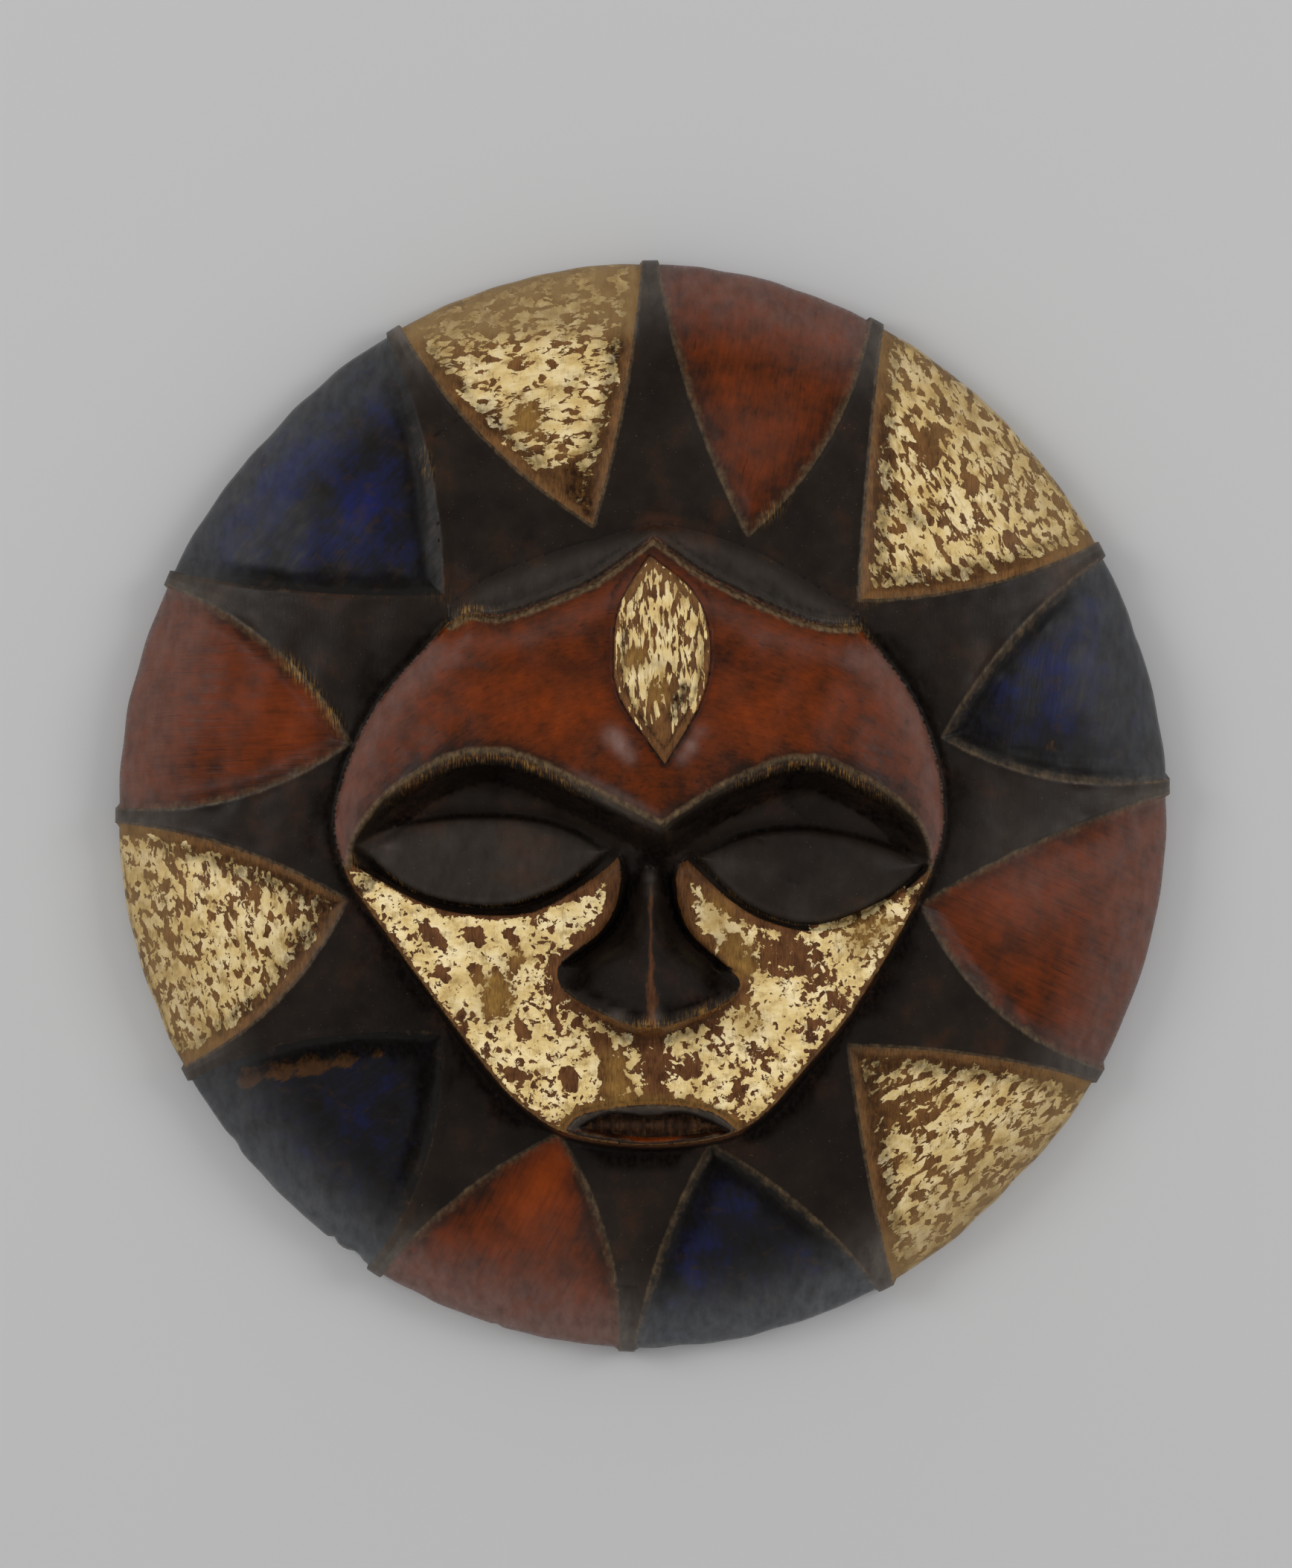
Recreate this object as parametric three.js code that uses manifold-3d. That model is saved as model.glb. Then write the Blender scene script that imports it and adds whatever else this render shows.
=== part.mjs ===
// A round carved and painted wooden mask, lying on its flat back rim.
// Millimetres. +Z points out of the face, +Y is towards the forehead, +X is to the viewer's right.
// The origin is on the ground plane, in the middle of the disc.
import * as THREE from 'three';
import { mergeVertices } from 'three/addons/utils/BufferGeometryUtils.js';
import Module from 'manifold-3d';

const wasm = await Module();
wasm.setup();

// The disc: a shallow dome that turns back strongly at its rim.
const panelHalfWidth = 188.4;
const panelHalfHeight = 194.9;
const lipHeight = 7;
const crownHeight = 50;
const domePower = 2.4;
const armRise = 2.2;
const armOverhang = 1.6;
const armHalfTip = 2.8;
const discSides = 72;
const discRings = 10;

// The hollow back, adzed out to follow the front.
const rimLedge = 13;
const wallThickness = 16;
const hollowSides = 48;
const hollowRings = 7;
const faceHollowDepth = 12;
const faceHollowReach = 62;

// The twelve sunk panels, clockwise from the top left. tip is the angle at which the black arm
// after the panel meets the rim, apex is the panel's inner corner as an angle and a radius, and
// bows are how far its two long edges swell.
const rays = [
  { tip: 88.9, apex: [99.4, 100], bows: [6.2, 2.6] },
  { tip: 63.8, apex: [68, 103], bows: [4, 8] },
  { tip: 28.8, apex: [42.8, 106.5], bows: [1, 5.3] },
  { tip: 1.8, apex: [12.3, 110.5], bows: [5.1, 7.2] },
  { tip: -30.6, apex: [-19.7, 106.5], bows: [3.3, 9.8] },
  { tip: -63, apex: [-49.2, 114], bows: [3.4, 1.3] },
  { tip: -91.3, apex: [-78.2, 124], bows: [4.5, 3.5] },
  { tip: -119.5, apex: [-103.7, 121], bows: [6.2, 4.7] },
  { tip: -149.2, apex: [-130.5, 108], bows: [8.3, 7.2] },
  { tip: -178.7, apex: [-161.7, 109.5], bows: [7.6, 5] },
  { tip: -205.5, apex: [-191.8, 105], bows: [8, 7.8] },
  { tip: -242.5, apex: [-226.7, 101.5], bows: [3.2, 4.9] },
];

// The face stands on the disc. These are heights above the black field or the ground.
const hairStart = 0.6;
const hairRise = 9;
const templeRise = 2;
const hairlineRise = 7.5;
const foreheadBulge = 23;
const foreheadRoll = 55;
const keelRise = 5;
const browBevel = 4;
const socketFloor = 49.5;
const socketReach = 8;
const lensHeight = 52.5;
const lensBulge = 4.5;
const cheekHeight = 58.5;
const muzzleRise = 13;
const noseRoot = 60;
const noseTip = 88;
const noseSlope = 0.74;
const almondRise = 2.6;
const almondCore = 1.6;
const almondShare = 0.72;
const lipRise = 2.6;
const mouthFloor = 65;
const wallLean = 0.16;
const smallLean = 0.02;

// How far down the nose ridge runs, and how the bridge and the pits beside the nose wings are spread.
const noseLine = 4;
const ridgeTop = -20;
const ridgeEnd = -77;
const bridgeRise = 7;
const bridgeReach = 13;
const pitDepth = 4;
const pitReach = 6;
const faceFall = 6.5;
const chinFall = 0.3;

// Where the rings and cross lines of the carved patches lie, as shares from edge to middle.
const faceRings = [1, 0.97, 0.92, 0.85, 0.75, 0.62, 0.47, 0.3, 0];
const smallRings = [1, 0.8, 0.5, 0];
const socketSteps = [0, 0.06, 0.14, 0.26, 0.45, 0.7, 1];
const socketFoot = -50;
const faceMiddle = new THREE.Vector2(noseLine, -20);
const noseMiddle = new THREE.Vector2(noseLine, -58);

// Cutting blocks run from under the ground plane to above the nose, and carved blocks start inside
// the disc.
const cutLow = -5;
const cutHigh = 120;
const blockBase = 20;
const outside = 130;

function clampShare(value) {
  return Math.min(1, Math.max(0, value));
}

function smooth(from, to, value) {
  const share = clampShare((value - from) / (to - from));
  return share * share * (3 - 2 * share);
}

// A quarter-round rise from 0 at an edge to 1 at the given distance from it.
function rollUp(distance, reach) {
  const left = 1 - clampShare(distance / reach);
  return Math.sqrt(1 - left * left);
}

function middleOf(outline) {
  return new THREE.Box2().setFromPoints(outline).getCenter(new THREE.Vector2());
}

function grown(outline, middle, factor) {
  return outline.map((point) => point.clone().sub(middle).multiplyScalar(factor).add(middle));
}

function hump(x, y, middleX, middleY, radius) {
  return Math.exp(-((x - middleX) ** 2 + (y - middleY) ** 2) / (radius * radius));
}

function polar(angle, radius) {
  const turn = THREE.MathUtils.degToRad(angle);
  return new THREE.Vector2(radius * Math.cos(turn), radius * Math.sin(turn));
}

// A smooth line through a few named points.
function openCurve(points, divisions) {
  return new THREE.SplineCurve(points.map(([x, y]) => new THREE.Vector2(x, y))).getPoints(divisions);
}

function closedCurve(points, divisions) {
  const corners = points.map(([x, y]) => new THREE.Vector3(x, y, 0));
  const curve = new THREE.CatmullRomCurve3(corners, true, 'centripetal');
  return curve.getPoints(divisions).slice(0, -1).map((point) => new THREE.Vector2(point.x, point.y));
}

function distanceTo(line, x, y) {
  let nearest = Infinity;
  for (let i = 1; i < line.length; i += 1) {
    const along = line[i].clone().sub(line[i - 1]);
    const reach = new THREE.Vector2(x, y).sub(line[i - 1]);
    const share = clampShare(reach.dot(along) / along.lengthSq());
    nearest = Math.min(nearest, reach.sub(along.multiplyScalar(share)).length());
  }
  return nearest;
}

function toSolid(geometry) {
  const bare = geometry.index ? geometry.toNonIndexed() : geometry.clone();
  bare.deleteAttribute('normal');
  bare.deleteAttribute('uv');
  const merged = mergeVertices(bare, 0.0005);
  const triangles = [];
  const index = merged.index.array;
  for (let i = 0; i < index.length; i += 3) {
    const [a, b, c] = [index[i], index[i + 1], index[i + 2]];
    if (a !== b && b !== c && c !== a) {
      triangles.push(a, b, c);
    }
  }
  return new wasm.Manifold(new wasm.Mesh({
    numProp: 3,
    vertProperties: Float32Array.from(merged.attributes.position.array),
    triVerts: Uint32Array.from(triangles),
  }));
}

function moveVertices(geometry, place) {
  const position = geometry.attributes.position;
  for (let i = 0; i < position.count; i += 1) {
    position.setXYZ(i, ...place(position.getX(i), position.getY(i), position.getZ(i)));
  }
  return geometry;
}

// An upright block with the given outline.
function prism(outline, low = cutLow, high = cutHigh) {
  const shape = new THREE.Shape(outline);
  const block = new THREE.ExtrudeGeometry(shape, { depth: high - low, bevelEnabled: false, steps: 1 });
  return toSolid(block.translate(0, 0, low));
}

// A block whose rings follow its outline, with walls that lean out below its edge.
function ringBlock(outline, middle, height, rings, lean = smallLean) {
  const count = outline.length;
  const corners = THREE.ShapeUtils.isClockWise(outline) ? [...outline].reverse() : outline;
  const profile = [new THREE.Vector2(0, 0), ...rings.map((share) => new THREE.Vector2(share, 1))];
  profile.splice(1, 0, new THREE.Vector2(1, 0));
  const lathe = new THREE.LatheGeometry(profile, count);
  const position = lathe.attributes.position;
  for (let i = 0; i < position.count; i += 1) {
    const corner = corners[Math.floor(i / profile.length) % count];
    const { x: share, y: onTop } = profile[i % profile.length];
    const outwards = corner.clone().sub(middle);
    const spot = middle.clone().addScaledVector(outwards, share);
    if (!onTop && share) {
      spot.addScaledVector(outwards.normalize(), (height(corner.x, corner.y) - blockBase) * lean);
    }
    position.setXYZ(i, spot.x, spot.y, onTop ? height(spot.x, spot.y) : blockBase);
  }
  return toSolid(lathe);
}

// A band between two lines, with cross lines at the given shares of its width.
function bandBlock(outer, inner, shares, height) {
  const along = outer.length - 1;
  const across = shares.length - 1;
  const band = new THREE.BoxGeometry(along, across, 1, along, across, 1);
  band.translate(along / 2, across / 2, 0.5);
  return toSolid(moveVertices(band, (x, y, z) => {
    const column = along - Math.round(x);
    const share = shares[Math.round(y)];
    const spot = outer[column].clone().lerp(inner[column], share);
    return [spot.x, spot.y, z > 0.5 ? height(spot.x, spot.y, share) : blockBase];
  }));
}

// The disc's edge is a slightly tall round.
function rimRadius(angle, overhang = 0) {
  const across = panelHalfWidth + overhang;
  const up = panelHalfHeight + overhang;
  return (across * up) / Math.hypot(up * Math.cos(angle), across * Math.sin(angle));
}

function domeHeight(x, y) {
  const share = Math.min(1, Math.hypot(x, y) / rimRadius(Math.atan2(y, x)));
  return lipHeight + (crownHeight - lipHeight) * Math.sqrt(1 - share ** domePower);
}

function fieldHeight(x, y) {
  return domeHeight(x, y) + armRise;
}

// A turned solid from a profile of radius shares, stretched to the disc's outline less an inset.
function turned(profile, sides, inset, lift = (x, y, z) => z) {
  const lathe = new THREE.LatheGeometry(profile, sides);
  lathe.rotateX(Math.PI / 2);
  return toSolid(moveVertices(lathe, (x, y, z) => {
    const radius = rimRadius(Math.atan2(y, x), -inset);
    return [x * radius, y * radius, lift(x * radius, y * radius, z)];
  }));
}

function domeSolid(lift, overhang) {
  const profile = [new THREE.Vector2(0, 0), new THREE.Vector2(1, 0)];
  for (let ring = 0; ring <= discRings; ring += 1) {
    const share = Math.cos((ring / discRings) * Math.PI / 2) ** 0.8;
    const rise = (crownHeight - lipHeight) * Math.sqrt(Math.max(0, 1 - share ** domePower));
    profile.push(new THREE.Vector2(ring === discRings ? 0 : share, lipHeight + lift + rise));
  }
  return turned(profile, discSides, -overhang);
}

function panelOutline(index) {
  const ray = rays[index];
  const before = rays[(index + rays.length - 1) % rays.length];
  const startTip = index === 0 ? before.tip + 360 : before.tip;
  const tipAngle = (armHalfTip / panelHalfWidth) * THREE.MathUtils.RAD2DEG;
  const ends = [startTip - tipAngle, ray.tip + tipAngle];
  const [left, right] = ends.map((angle) => polar(angle, rimRadius(THREE.MathUtils.degToRad(angle))));
  const apex = polar(...ray.apex);
  const edge = (from, to, bow) => {
    const side = new THREE.Vector2(from.y - to.y, to.x - from.x).normalize();
    const control = from.clone().add(to).multiplyScalar(0.5).addScaledVector(side, bow * 2);
    return new THREE.QuadraticBezierCurve(from, control, to).getPoints(9);
  };
  const outwards = [right, left].map((corner) => corner.clone().multiplyScalar(1.1));
  return [...edge(left, apex, -ray.bows[0]), ...edge(apex, right, -ray.bows[1]).slice(1), ...outwards];
}

function makeDisc() {
  let arms = domeSolid(armRise, armOverhang);
  for (let index = 0; index < rays.length; index += 1) {
    arms = arms.subtract(prism(panelOutline(index)));
  }
  return domeSolid(0, 0).add(arms);
}

// The outlines of the face, as they stand on the disc.
const hairline = [
  ...openCurve([[-66, 64], [-60, 67.5], [-47, 67], [-21, 76.5], [-10, 83], [5, 94.5]], 12),
  ...openCurve([[5, 94.5], [21, 82.5], [33, 76], [53, 67], [65, 63.5], [76, 63]], 12).slice(1),
];
const hairTop = [
  ...openCurve([[-67, 70], [-54, 79.5], [-31, 88.5], [5, 99]], 12),
  ...openCurve([[5, 99], [27, 94.5], [50, 84.5], [77, 67]], 12).slice(1),
];
const jaw = openCurve([
  [78, 62], [97, 37], [107, 6], [104, -22], [79, -67], [58, -93], [42, -111], [26, -118.5], [0, -120.5],
  [-25, -117], [-42, -107], [-57, -90.5], [-94, -39.5], [-105, -21], [-107, 0], [-94, 33], [-68, 63],
], 60);
const faceOutline = [...jaw, ...hairline];
const browLeft = [[-103, -22], [-100, -11], [-88, 4], [-68, 16], [-54, 18.8], [-41, 17], [-20, 7.5], [8, -7]];
const browRight = [[8, -7], [26, 5], [47, 14.8], [58, 16.2], [68, 14.8], [89, 3], [100, -9], [104, -25]];
const browLine = [...openCurve(browLeft, 18), ...openCurve(browRight, 18).slice(1)];
const lensLeft = [
  ...openCurve([[-100, -14.5], [-85, -8], [-57, -5], [-30, -7.5], [-11.5, -17]], 10),
  ...openCurve([[-11.5, -17], [-29, -30], [-52, -36.5], [-80, -31], [-100, -14.5]], 10).slice(1, -1),
];
const lensRight = [
  ...openCurve([[20.5, -19], [38, -11.5], [58, -9.3], [80, -13], [103, -21]], 10),
  ...openCurve([[103, -21], [86, -34.5], [61, -43], [38, -36], [20.5, -19]], 10).slice(1, -1),
];
const cheekTopLeft = openCurve(
  [[-112, -15], [-94, -26], [-73, -36.5], [-54, -39.5], [-35, -37.5], [-6, -17]], 14,
);
const cheekTopRight = openCurve([[13, -17], [32, -34], [45, -41.5], [62, -45], [82, -40], [112, -15]], 14);
const noseOutline = closedCurve([
  [-5, -17], [-6.5, -28], [-9, -38], [-15, -46.5], [-26.5, -55], [-28.5, -62], [-22, -69], [-6, -76],
  [4, -77.5], [14, -76], [31, -69.5], [35.5, -63], [30, -56.5], [18.5, -46], [14, -36], [13, -27], [11, -17],
], 34);
const almond = [
  ...openCurve([[3.7, 87], [-6, 71], [-8.7, 55], [-6.5, 37], [9, 13.8]], 9),
  ...openCurve([[9, 13.8], [22, 37], [24.7, 57], [19, 74], [3.7, 87]], 9).slice(1, -1),
];
const lips = [
  ...openCurve([[-26, -114.5], [-19, -108.5], [3, -105.2], [24, -107.5], [34.5, -114.5]], 8),
  ...openCurve([[34.5, -114.5], [24, -118.2], [3, -120.4], [-16, -118.2], [-26, -114.5]], 8).slice(1, -1),
];
const mouthGap = [
  ...openCurve([[-20, -113.5], [-10, -109], [3.5, -110.5], [16, -109], [31, -114.5]], 8),
  ...openCurve([[31, -114.5], [3, -117.2], [-20, -113.5]], 6).slice(1, -1),
];

// How the whole face falls away to its sides.
function sideFall(x) {
  return faceFall * ((x - noseLine) / 100) ** 2;
}

function foreheadHeight(x, y) {
  const edge = templeRise + (hairlineRise - templeRise) * smooth(46, 64, y);
  const distance = distanceTo(faceOutline, x, y);
  const keel = keelRise * smooth(70, 5, y) * Math.exp(-(((x - 7) / 26) ** 2));
  return fieldHeight(x, y) + edge + foreheadBulge * rollUp(distance, foreheadRoll) + keel;
}

function socketHeight(x, y) {
  const bridge = bridgeRise * Math.exp(-(((x - noseLine) / bridgeReach) ** 2));
  const floor = socketFloor - sideFall(x) + bridge;
  const drop = foreheadHeight(x, y) - browBevel - floor;
  return floor + Math.max(0, drop) * Math.exp(-distanceTo(browLine, x, y) / socketReach);
}

function lensTop(outline) {
  return (x, y) => lensHeight - sideFall(x) + lensBulge * rollUp(distanceTo(outline, x, y), 14);
}

function cheekTop(x, y) {
  const muzzle = muzzleRise * smooth(-30, -112, y) - chinFall * Math.max(0, -105 - y);
  return cheekHeight - sideFall(x) + muzzle;
}

function noseTop(x, y) {
  const down = clampShare((ridgeTop - y) / (ridgeTop - ridgeEnd));
  const side = Math.hypot(x - noseLine, 1.5) - 1.5;
  const pits = pitDepth * (hump(x, y, -19, -56, pitReach) + hump(x, y, 27, -58, pitReach));
  return noseRoot + (noseTip - noseRoot) * down - noseSlope * side - pits;
}

// The cutting block that stands on one side of a line across the face.
function sideOf(line, far) {
  const [first, last] = [line[0], line[line.length - 1]];
  return prism([...line, new THREE.Vector2(last.x, far), new THREE.Vector2(first.x, far)]);
}

function makeFace() {
  const browEnds = [-outside, outside].map((x) => new THREE.Vector2(x, -28));
  const underNose = [-8, 15].map((x) => new THREE.Vector2(x, -40));
  const aboveBrows = sideOf([browEnds[0], ...browLine, browEnds[1]], outside);
  const belowEyes = [cheekTopLeft, cheekTopRight, underNose]
    .map((line) => sideOf(line, -outside))
    .reduce((whole, piece) => whole.add(piece));
  const forehead = ringBlock(faceOutline, faceMiddle, foreheadHeight, faceRings, wallLean)
    .intersect(aboveBrows);
  const cheeks = ringBlock(faceOutline, faceMiddle, cheekTop, faceRings, wallLean)
    .intersect(belowEyes)
    .subtract(prism(noseOutline));
  // The sockets start a little under the brows, so that the two carvings share no wall.
  const socketTop = browLine.map((point) => new THREE.Vector2(point.x * 1.004, point.y + 1.2));
  const socketEnd = browLine.map((point) => new THREE.Vector2(point.x, socketFoot));
  const sockets = bandBlock(socketTop, socketEnd, socketSteps, socketHeight).intersect(prism(faceOutline));
  return forehead.add(cheeks).add(sockets);
}

function makeHollow() {
  const profile = [new THREE.Vector2(0, -5), new THREE.Vector2(1, -5)];
  for (let ring = 0; ring <= hollowRings; ring += 1) {
    const share = Math.cos((ring / hollowRings) * Math.PI / 2) ** 0.8;
    const rise = (crownHeight - wallThickness) * Math.sqrt(Math.max(0, 1 - share ** domePower));
    profile.push(new THREE.Vector2(ring === hollowRings ? 0 : share, rise));
  }
  return turned(profile, hollowSides, rimLedge, (x, y, z) => (
    z > 0 ? z + faceHollowDepth * hump(x, y, faceMiddle.x, faceMiddle.y, faceHollowReach) : z
  ));
}

function makeAlmond() {
  const middle = middleOf(almond);
  const border = ringBlock(almond, middle, (x, y) => foreheadHeight(x, y) + almondRise, smallRings);
  const coreHeight = (x, y) => foreheadHeight(x, y) + almondRise + almondCore;
  return border.add(ringBlock(grown(almond, middle, almondShare), middle, coreHeight, smallRings));
}

function makeMask() {
  const nose = ringBlock(grown(noseOutline, noseMiddle, 1.01), noseMiddle, noseTop, smallRings);
  const eyes = [lensLeft, lensRight].map((outline) => (
    ringBlock(outline, middleOf(outline), lensTop(outline), smallRings)
  ));
  const hair = bandBlock(hairTop, hairline, [0, 1], (x, y, share) => (
    fieldHeight(x, y) + hairStart + (hairRise - hairStart) * share
  ));
  const lipBody = ringBlock(lips, middleOf(lips), (x, y) => cheekTop(x, y) + lipRise, smallRings);
  return [makeFace(), nose, ...eyes, hair, makeAlmond(), lipBody]
    .reduce((whole, piece) => whole.add(piece), makeDisc())
    .subtract(prism(mouthGap, mouthFloor))
    .subtract(makeHollow());
}

function toGeometry(solid) {
  const { numProp, vertProperties, triVerts } = solid.getMesh();
  const geometry = new THREE.BufferGeometry();
  const points = [];
  for (let i = 0; i < vertProperties.length; i += numProp) {
    points.push(vertProperties[i], vertProperties[i + 1], vertProperties[i + 2]);
  }
  geometry.setAttribute('position', new THREE.Float32BufferAttribute(points, 3));
  geometry.setIndex(Array.from(triVerts));
  geometry.computeVertexNormals();
  return geometry;
}

const paintedWood = new THREE.MeshStandardMaterial({ color: 0x5a2a1a, roughness: 0.45, metalness: 0 });
const mask = new THREE.Mesh(toGeometry(makeMask()), paintedWood);
mask.name = 'mask';

const part = new THREE.Group();
part.add(mask);

export default part;
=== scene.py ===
import math

import bmesh
import bpy
import numpy as np
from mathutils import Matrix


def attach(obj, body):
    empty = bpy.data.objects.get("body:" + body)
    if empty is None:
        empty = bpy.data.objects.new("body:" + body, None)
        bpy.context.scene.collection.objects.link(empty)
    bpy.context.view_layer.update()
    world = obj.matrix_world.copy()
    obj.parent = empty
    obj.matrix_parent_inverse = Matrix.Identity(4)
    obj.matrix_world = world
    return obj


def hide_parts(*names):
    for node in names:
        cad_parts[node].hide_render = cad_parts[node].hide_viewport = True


# A round carved and painted wooden mask, lying on its flat back rim and seen from straight above.
# Shapes are worked out in millimetres, with +Y towards the forehead, and made metres at the end.
mm = 0.001

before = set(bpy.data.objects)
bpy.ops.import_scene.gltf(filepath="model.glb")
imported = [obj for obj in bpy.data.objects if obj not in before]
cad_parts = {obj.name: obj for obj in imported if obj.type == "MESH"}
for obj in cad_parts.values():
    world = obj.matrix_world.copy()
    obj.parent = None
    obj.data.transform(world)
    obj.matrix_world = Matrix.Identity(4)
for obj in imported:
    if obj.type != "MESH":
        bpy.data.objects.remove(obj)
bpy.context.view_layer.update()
print("frame loaded")

# the camera stands this far above the floor, and the picture covers this much of the floor
photo = {"distance": 2000, "viewHigh": 569, "middle": (2.43, 6.885), "sensor": 36}


def makeCamera():
    data = bpy.data.cameras.new("camera")
    data.sensor_fit = "VERTICAL"
    data.sensor_height = photo["sensor"]
    data.lens = photo["sensor"] * photo["distance"] / photo["viewHigh"]
    data.clip_start, data.clip_end = 0.05, 50
    camera = bpy.data.objects.new("camera", data)
    camera.location = (photo["middle"][0] * mm, photo["middle"][1] * mm, photo["distance"] * mm)
    bpy.context.scene.collection.objects.link(camera)
    bpy.context.scene.camera = camera


# the disc: a shallow dome that turns back at its rim, with twelve sunk panels between black arms
disc = {
    "halfWide": 188.4, "halfHigh": 194.9, "lip": 7, "crown": 50, "power": 2.4,
    "armRise": 2.2, "armOverhang": 1.6, "armHalfTip": 2.8,
    "borderWide": 7, "pillow": 1.9, "pillowReach": 34,
    "ledge": 13, "wall": 16, "faceHollow": 12, "faceHollowReach": 62,
}

# clockwise from the top left: paint, angle of the arm after the panel, inner corner as angle and
# radius, swell of the two long edges, direction of the brush strokes and how far they are drawn out
panels = [
    ("cream", 88.9, (99.4, 100), (6.2, 2.6), 8, 0.5),
    ("red", 63.8, (68, 103), (4, 8), 80, 0.45),
    ("cream", 28.8, (42.8, 106.5), (1, 5.3), -62, 0.5),
    ("blue", 1.8, (12.3, 110.5), (5.1, 7.2), 80, 0.6),
    ("red", -30.6, (-19.7, 106.5), (3.3, 9.8), -25, 0.2),
    ("cream", -63, (-49.2, 114), (3.4, 1.3), 38, 0.5),
    ("blue", -91.3, (-78.2, 124), (4.5, 3.5), -80, 0.6),
    ("red", -119.5, (-103.7, 121), (6.2, 4.7), 62, 0.2),
    ("blue", -149.2, (-130.5, 108), (8.3, 7.2), 35, 0.6),
    ("cream", -178.7, (-161.7, 109.5), (7.6, 5), -78, 0.6),
    ("red", -205.5, (-191.8, 105), (8, 7.8), 2, 0.2),
    ("blue", -242.5, (-226.7, 101.5), (3.2, 4.9), 50, 0.6),
]

# heights of the carved face above the black field or the floor, and how its walls are cut
face = {
    "hairStart": 0.6, "hairRise": 9, "templeRise": 2, "hairlineRise": 7.5,
    "bulge": 23, "roll": 55, "keel": 5, "browBevel": 4, "browBand": 2.6, "socketReach": 6,
    "socketFloor": 49.5, "lens": 52.5, "lensBulge": 4.5, "lensRoll": 14,
    "cheek": 58.5, "muzzle": 13, "chinFall": 0.3, "fall": 6.5, "middle": 4,
    "noseRoot": 60, "noseTip": 88, "ridgeTop": -20, "ridgeEnd": -77, "noseSlopes": (1.6, 0.62),
    "noseValley": 7, "nostrils": [(-19.6, -58.5), (26.8, -60)], "nostrilDepth": 2.2, "bridge": 7,
    "almondRise": 2, "lipRise": 2.6, "mouthFloor": 65, "wallSlope": 6,
}

# the outlines of the face as points on smooth lines
hairLeft = [(-66, 64), (-60, 67.5), (-47, 67), (-21, 76.5), (-10, 83), (5, 94.5)]
hairRight = [(5, 94.5), (21, 82.5), (33, 76), (53, 67), (65, 63.5), (76, 63)]
hairTopLeft = [(-67, 70), (-54, 79.5), (-31, 88.5), (5, 99)]
hairTopRight = [(5, 99), (27, 94.5), (50, 84.5), (77, 67)]
jawPoints = [
    (78, 62), (97, 37), (107, 6), (104, -22), (79, -67), (58, -93), (42, -110.4), (26, -117.6),
    (0, -119.6), (-25, -115.8), (-41.6, -105.3), (-56, -89.5), (-94, -39.5), (-105, -21), (-107, 0),
    (-94, 33), (-68, 63),
]
browLeft = [(-103, -22), (-100, -11), (-88, 4), (-68, 16), (-54, 18.8), (-41, 17), (-20, 7.5), (8, -7)]
browRight = [(8, -7), (26, 5), (47, 14.8), (58, 16.2), (68, 14.8), (89, 3), (100, -9), (104, -25)]
lensLeftTop = [(-100, -14.5), (-85, -8), (-57, -5), (-30, -7.5), (-11.5, -17)]
lensLeftFoot = [(-11.5, -17), (-29, -30), (-52, -36.5), (-80, -31), (-100, -14.5)]
lensRightTop = [(20.5, -19), (38, -11.5), (58, -9.3), (80, -13), (103, -21)]
lensRightFoot = [(103, -21), (86, -34.5), (61, -43), (38, -36), (20.5, -19)]
cheekLeft = [(-112, -15), (-94, -26), (-73, -36.5), (-54, -39.5), (-35, -37.5), (-15, -25.5), (-7.5, -19)]
lobeLeft = [(-7.5, -19), (-6, -23), (-6.8, -30), (-9, -38), (-15, -46.5), (-28, -57)]
lobeRight = [(35, -59), (30, -56.5), (18.5, -46), (14, -36), (13, -28), (14, -22), (17, -20)]
cheekRight = [(17, -20), (32, -34), (45, -41.5), (62, -45), (82, -40), (112, -15)]
nosePoints = [
    (-5, -17), (-6.5, -28), (-9, -38), (-15, -46.5), (-26.5, -55), (-28.5, -62), (-22, -69), (-6, -76),
    (4, -77.5), (14, -76), (31, -69.5), (35.5, -63), (30, -56.5), (18.5, -46), (14, -36), (13, -27),
    (11, -17),
]
almondLeft = [(3.7, 87), (-6, 71), (-8.7, 55), (-6.5, 37), (9, 13.8)]
almondRight = [(9, 13.8), (22, 37), (24.7, 57), (19, 74), (3.7, 87)]
lipsTop = [(-26, -114.5), (-19, -108.5), (3, -105.2), (24, -107.5), (34.5, -114.5)]
lipsFoot = [(34.5, -114.5), (24, -117.4), (3, -119.4), (-16, -117.3), (-26, -114.5)]
mouthTop = [(-20, -113.5), (-10, -109), (3.5, -110.5), (16, -109), (31, -114.5)]
mouthFoot = [(31, -114.5), (3, -117.2), (-20, -113.5)]


def clampShare(value):
    return np.clip(value, 0, 1)


def smooth(low, high, value):
    share = clampShare((value - low) / (high - low))
    return share * share * (3 - 2 * share)


def rollUp(gap, reach):  # a quarter-round rise from 0 at an edge to 1 at its reach
    left = 1 - clampShare(gap / reach)
    return np.sqrt(1 - left * left)


def bell(value, middle, half, power=2):  # 1 at the middle, falling away to both sides; 4 is flatter on top
    return np.exp(-((value - middle) / half) ** power)


def hump(x, y, middleX, middleY, radius):  # the same around a place
    return np.exp(-((x - middleX) ** 2 + (y - middleY) ** 2) / radius ** 2)


def softMax(a, b, fillet):  # the higher of two surfaces, with a hollow fillet where they meet
    share = clampShare(0.5 + 0.5 * (a - b) / fillet)
    return b + (a - b) * share + fillet * share * (1 - share)


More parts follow.
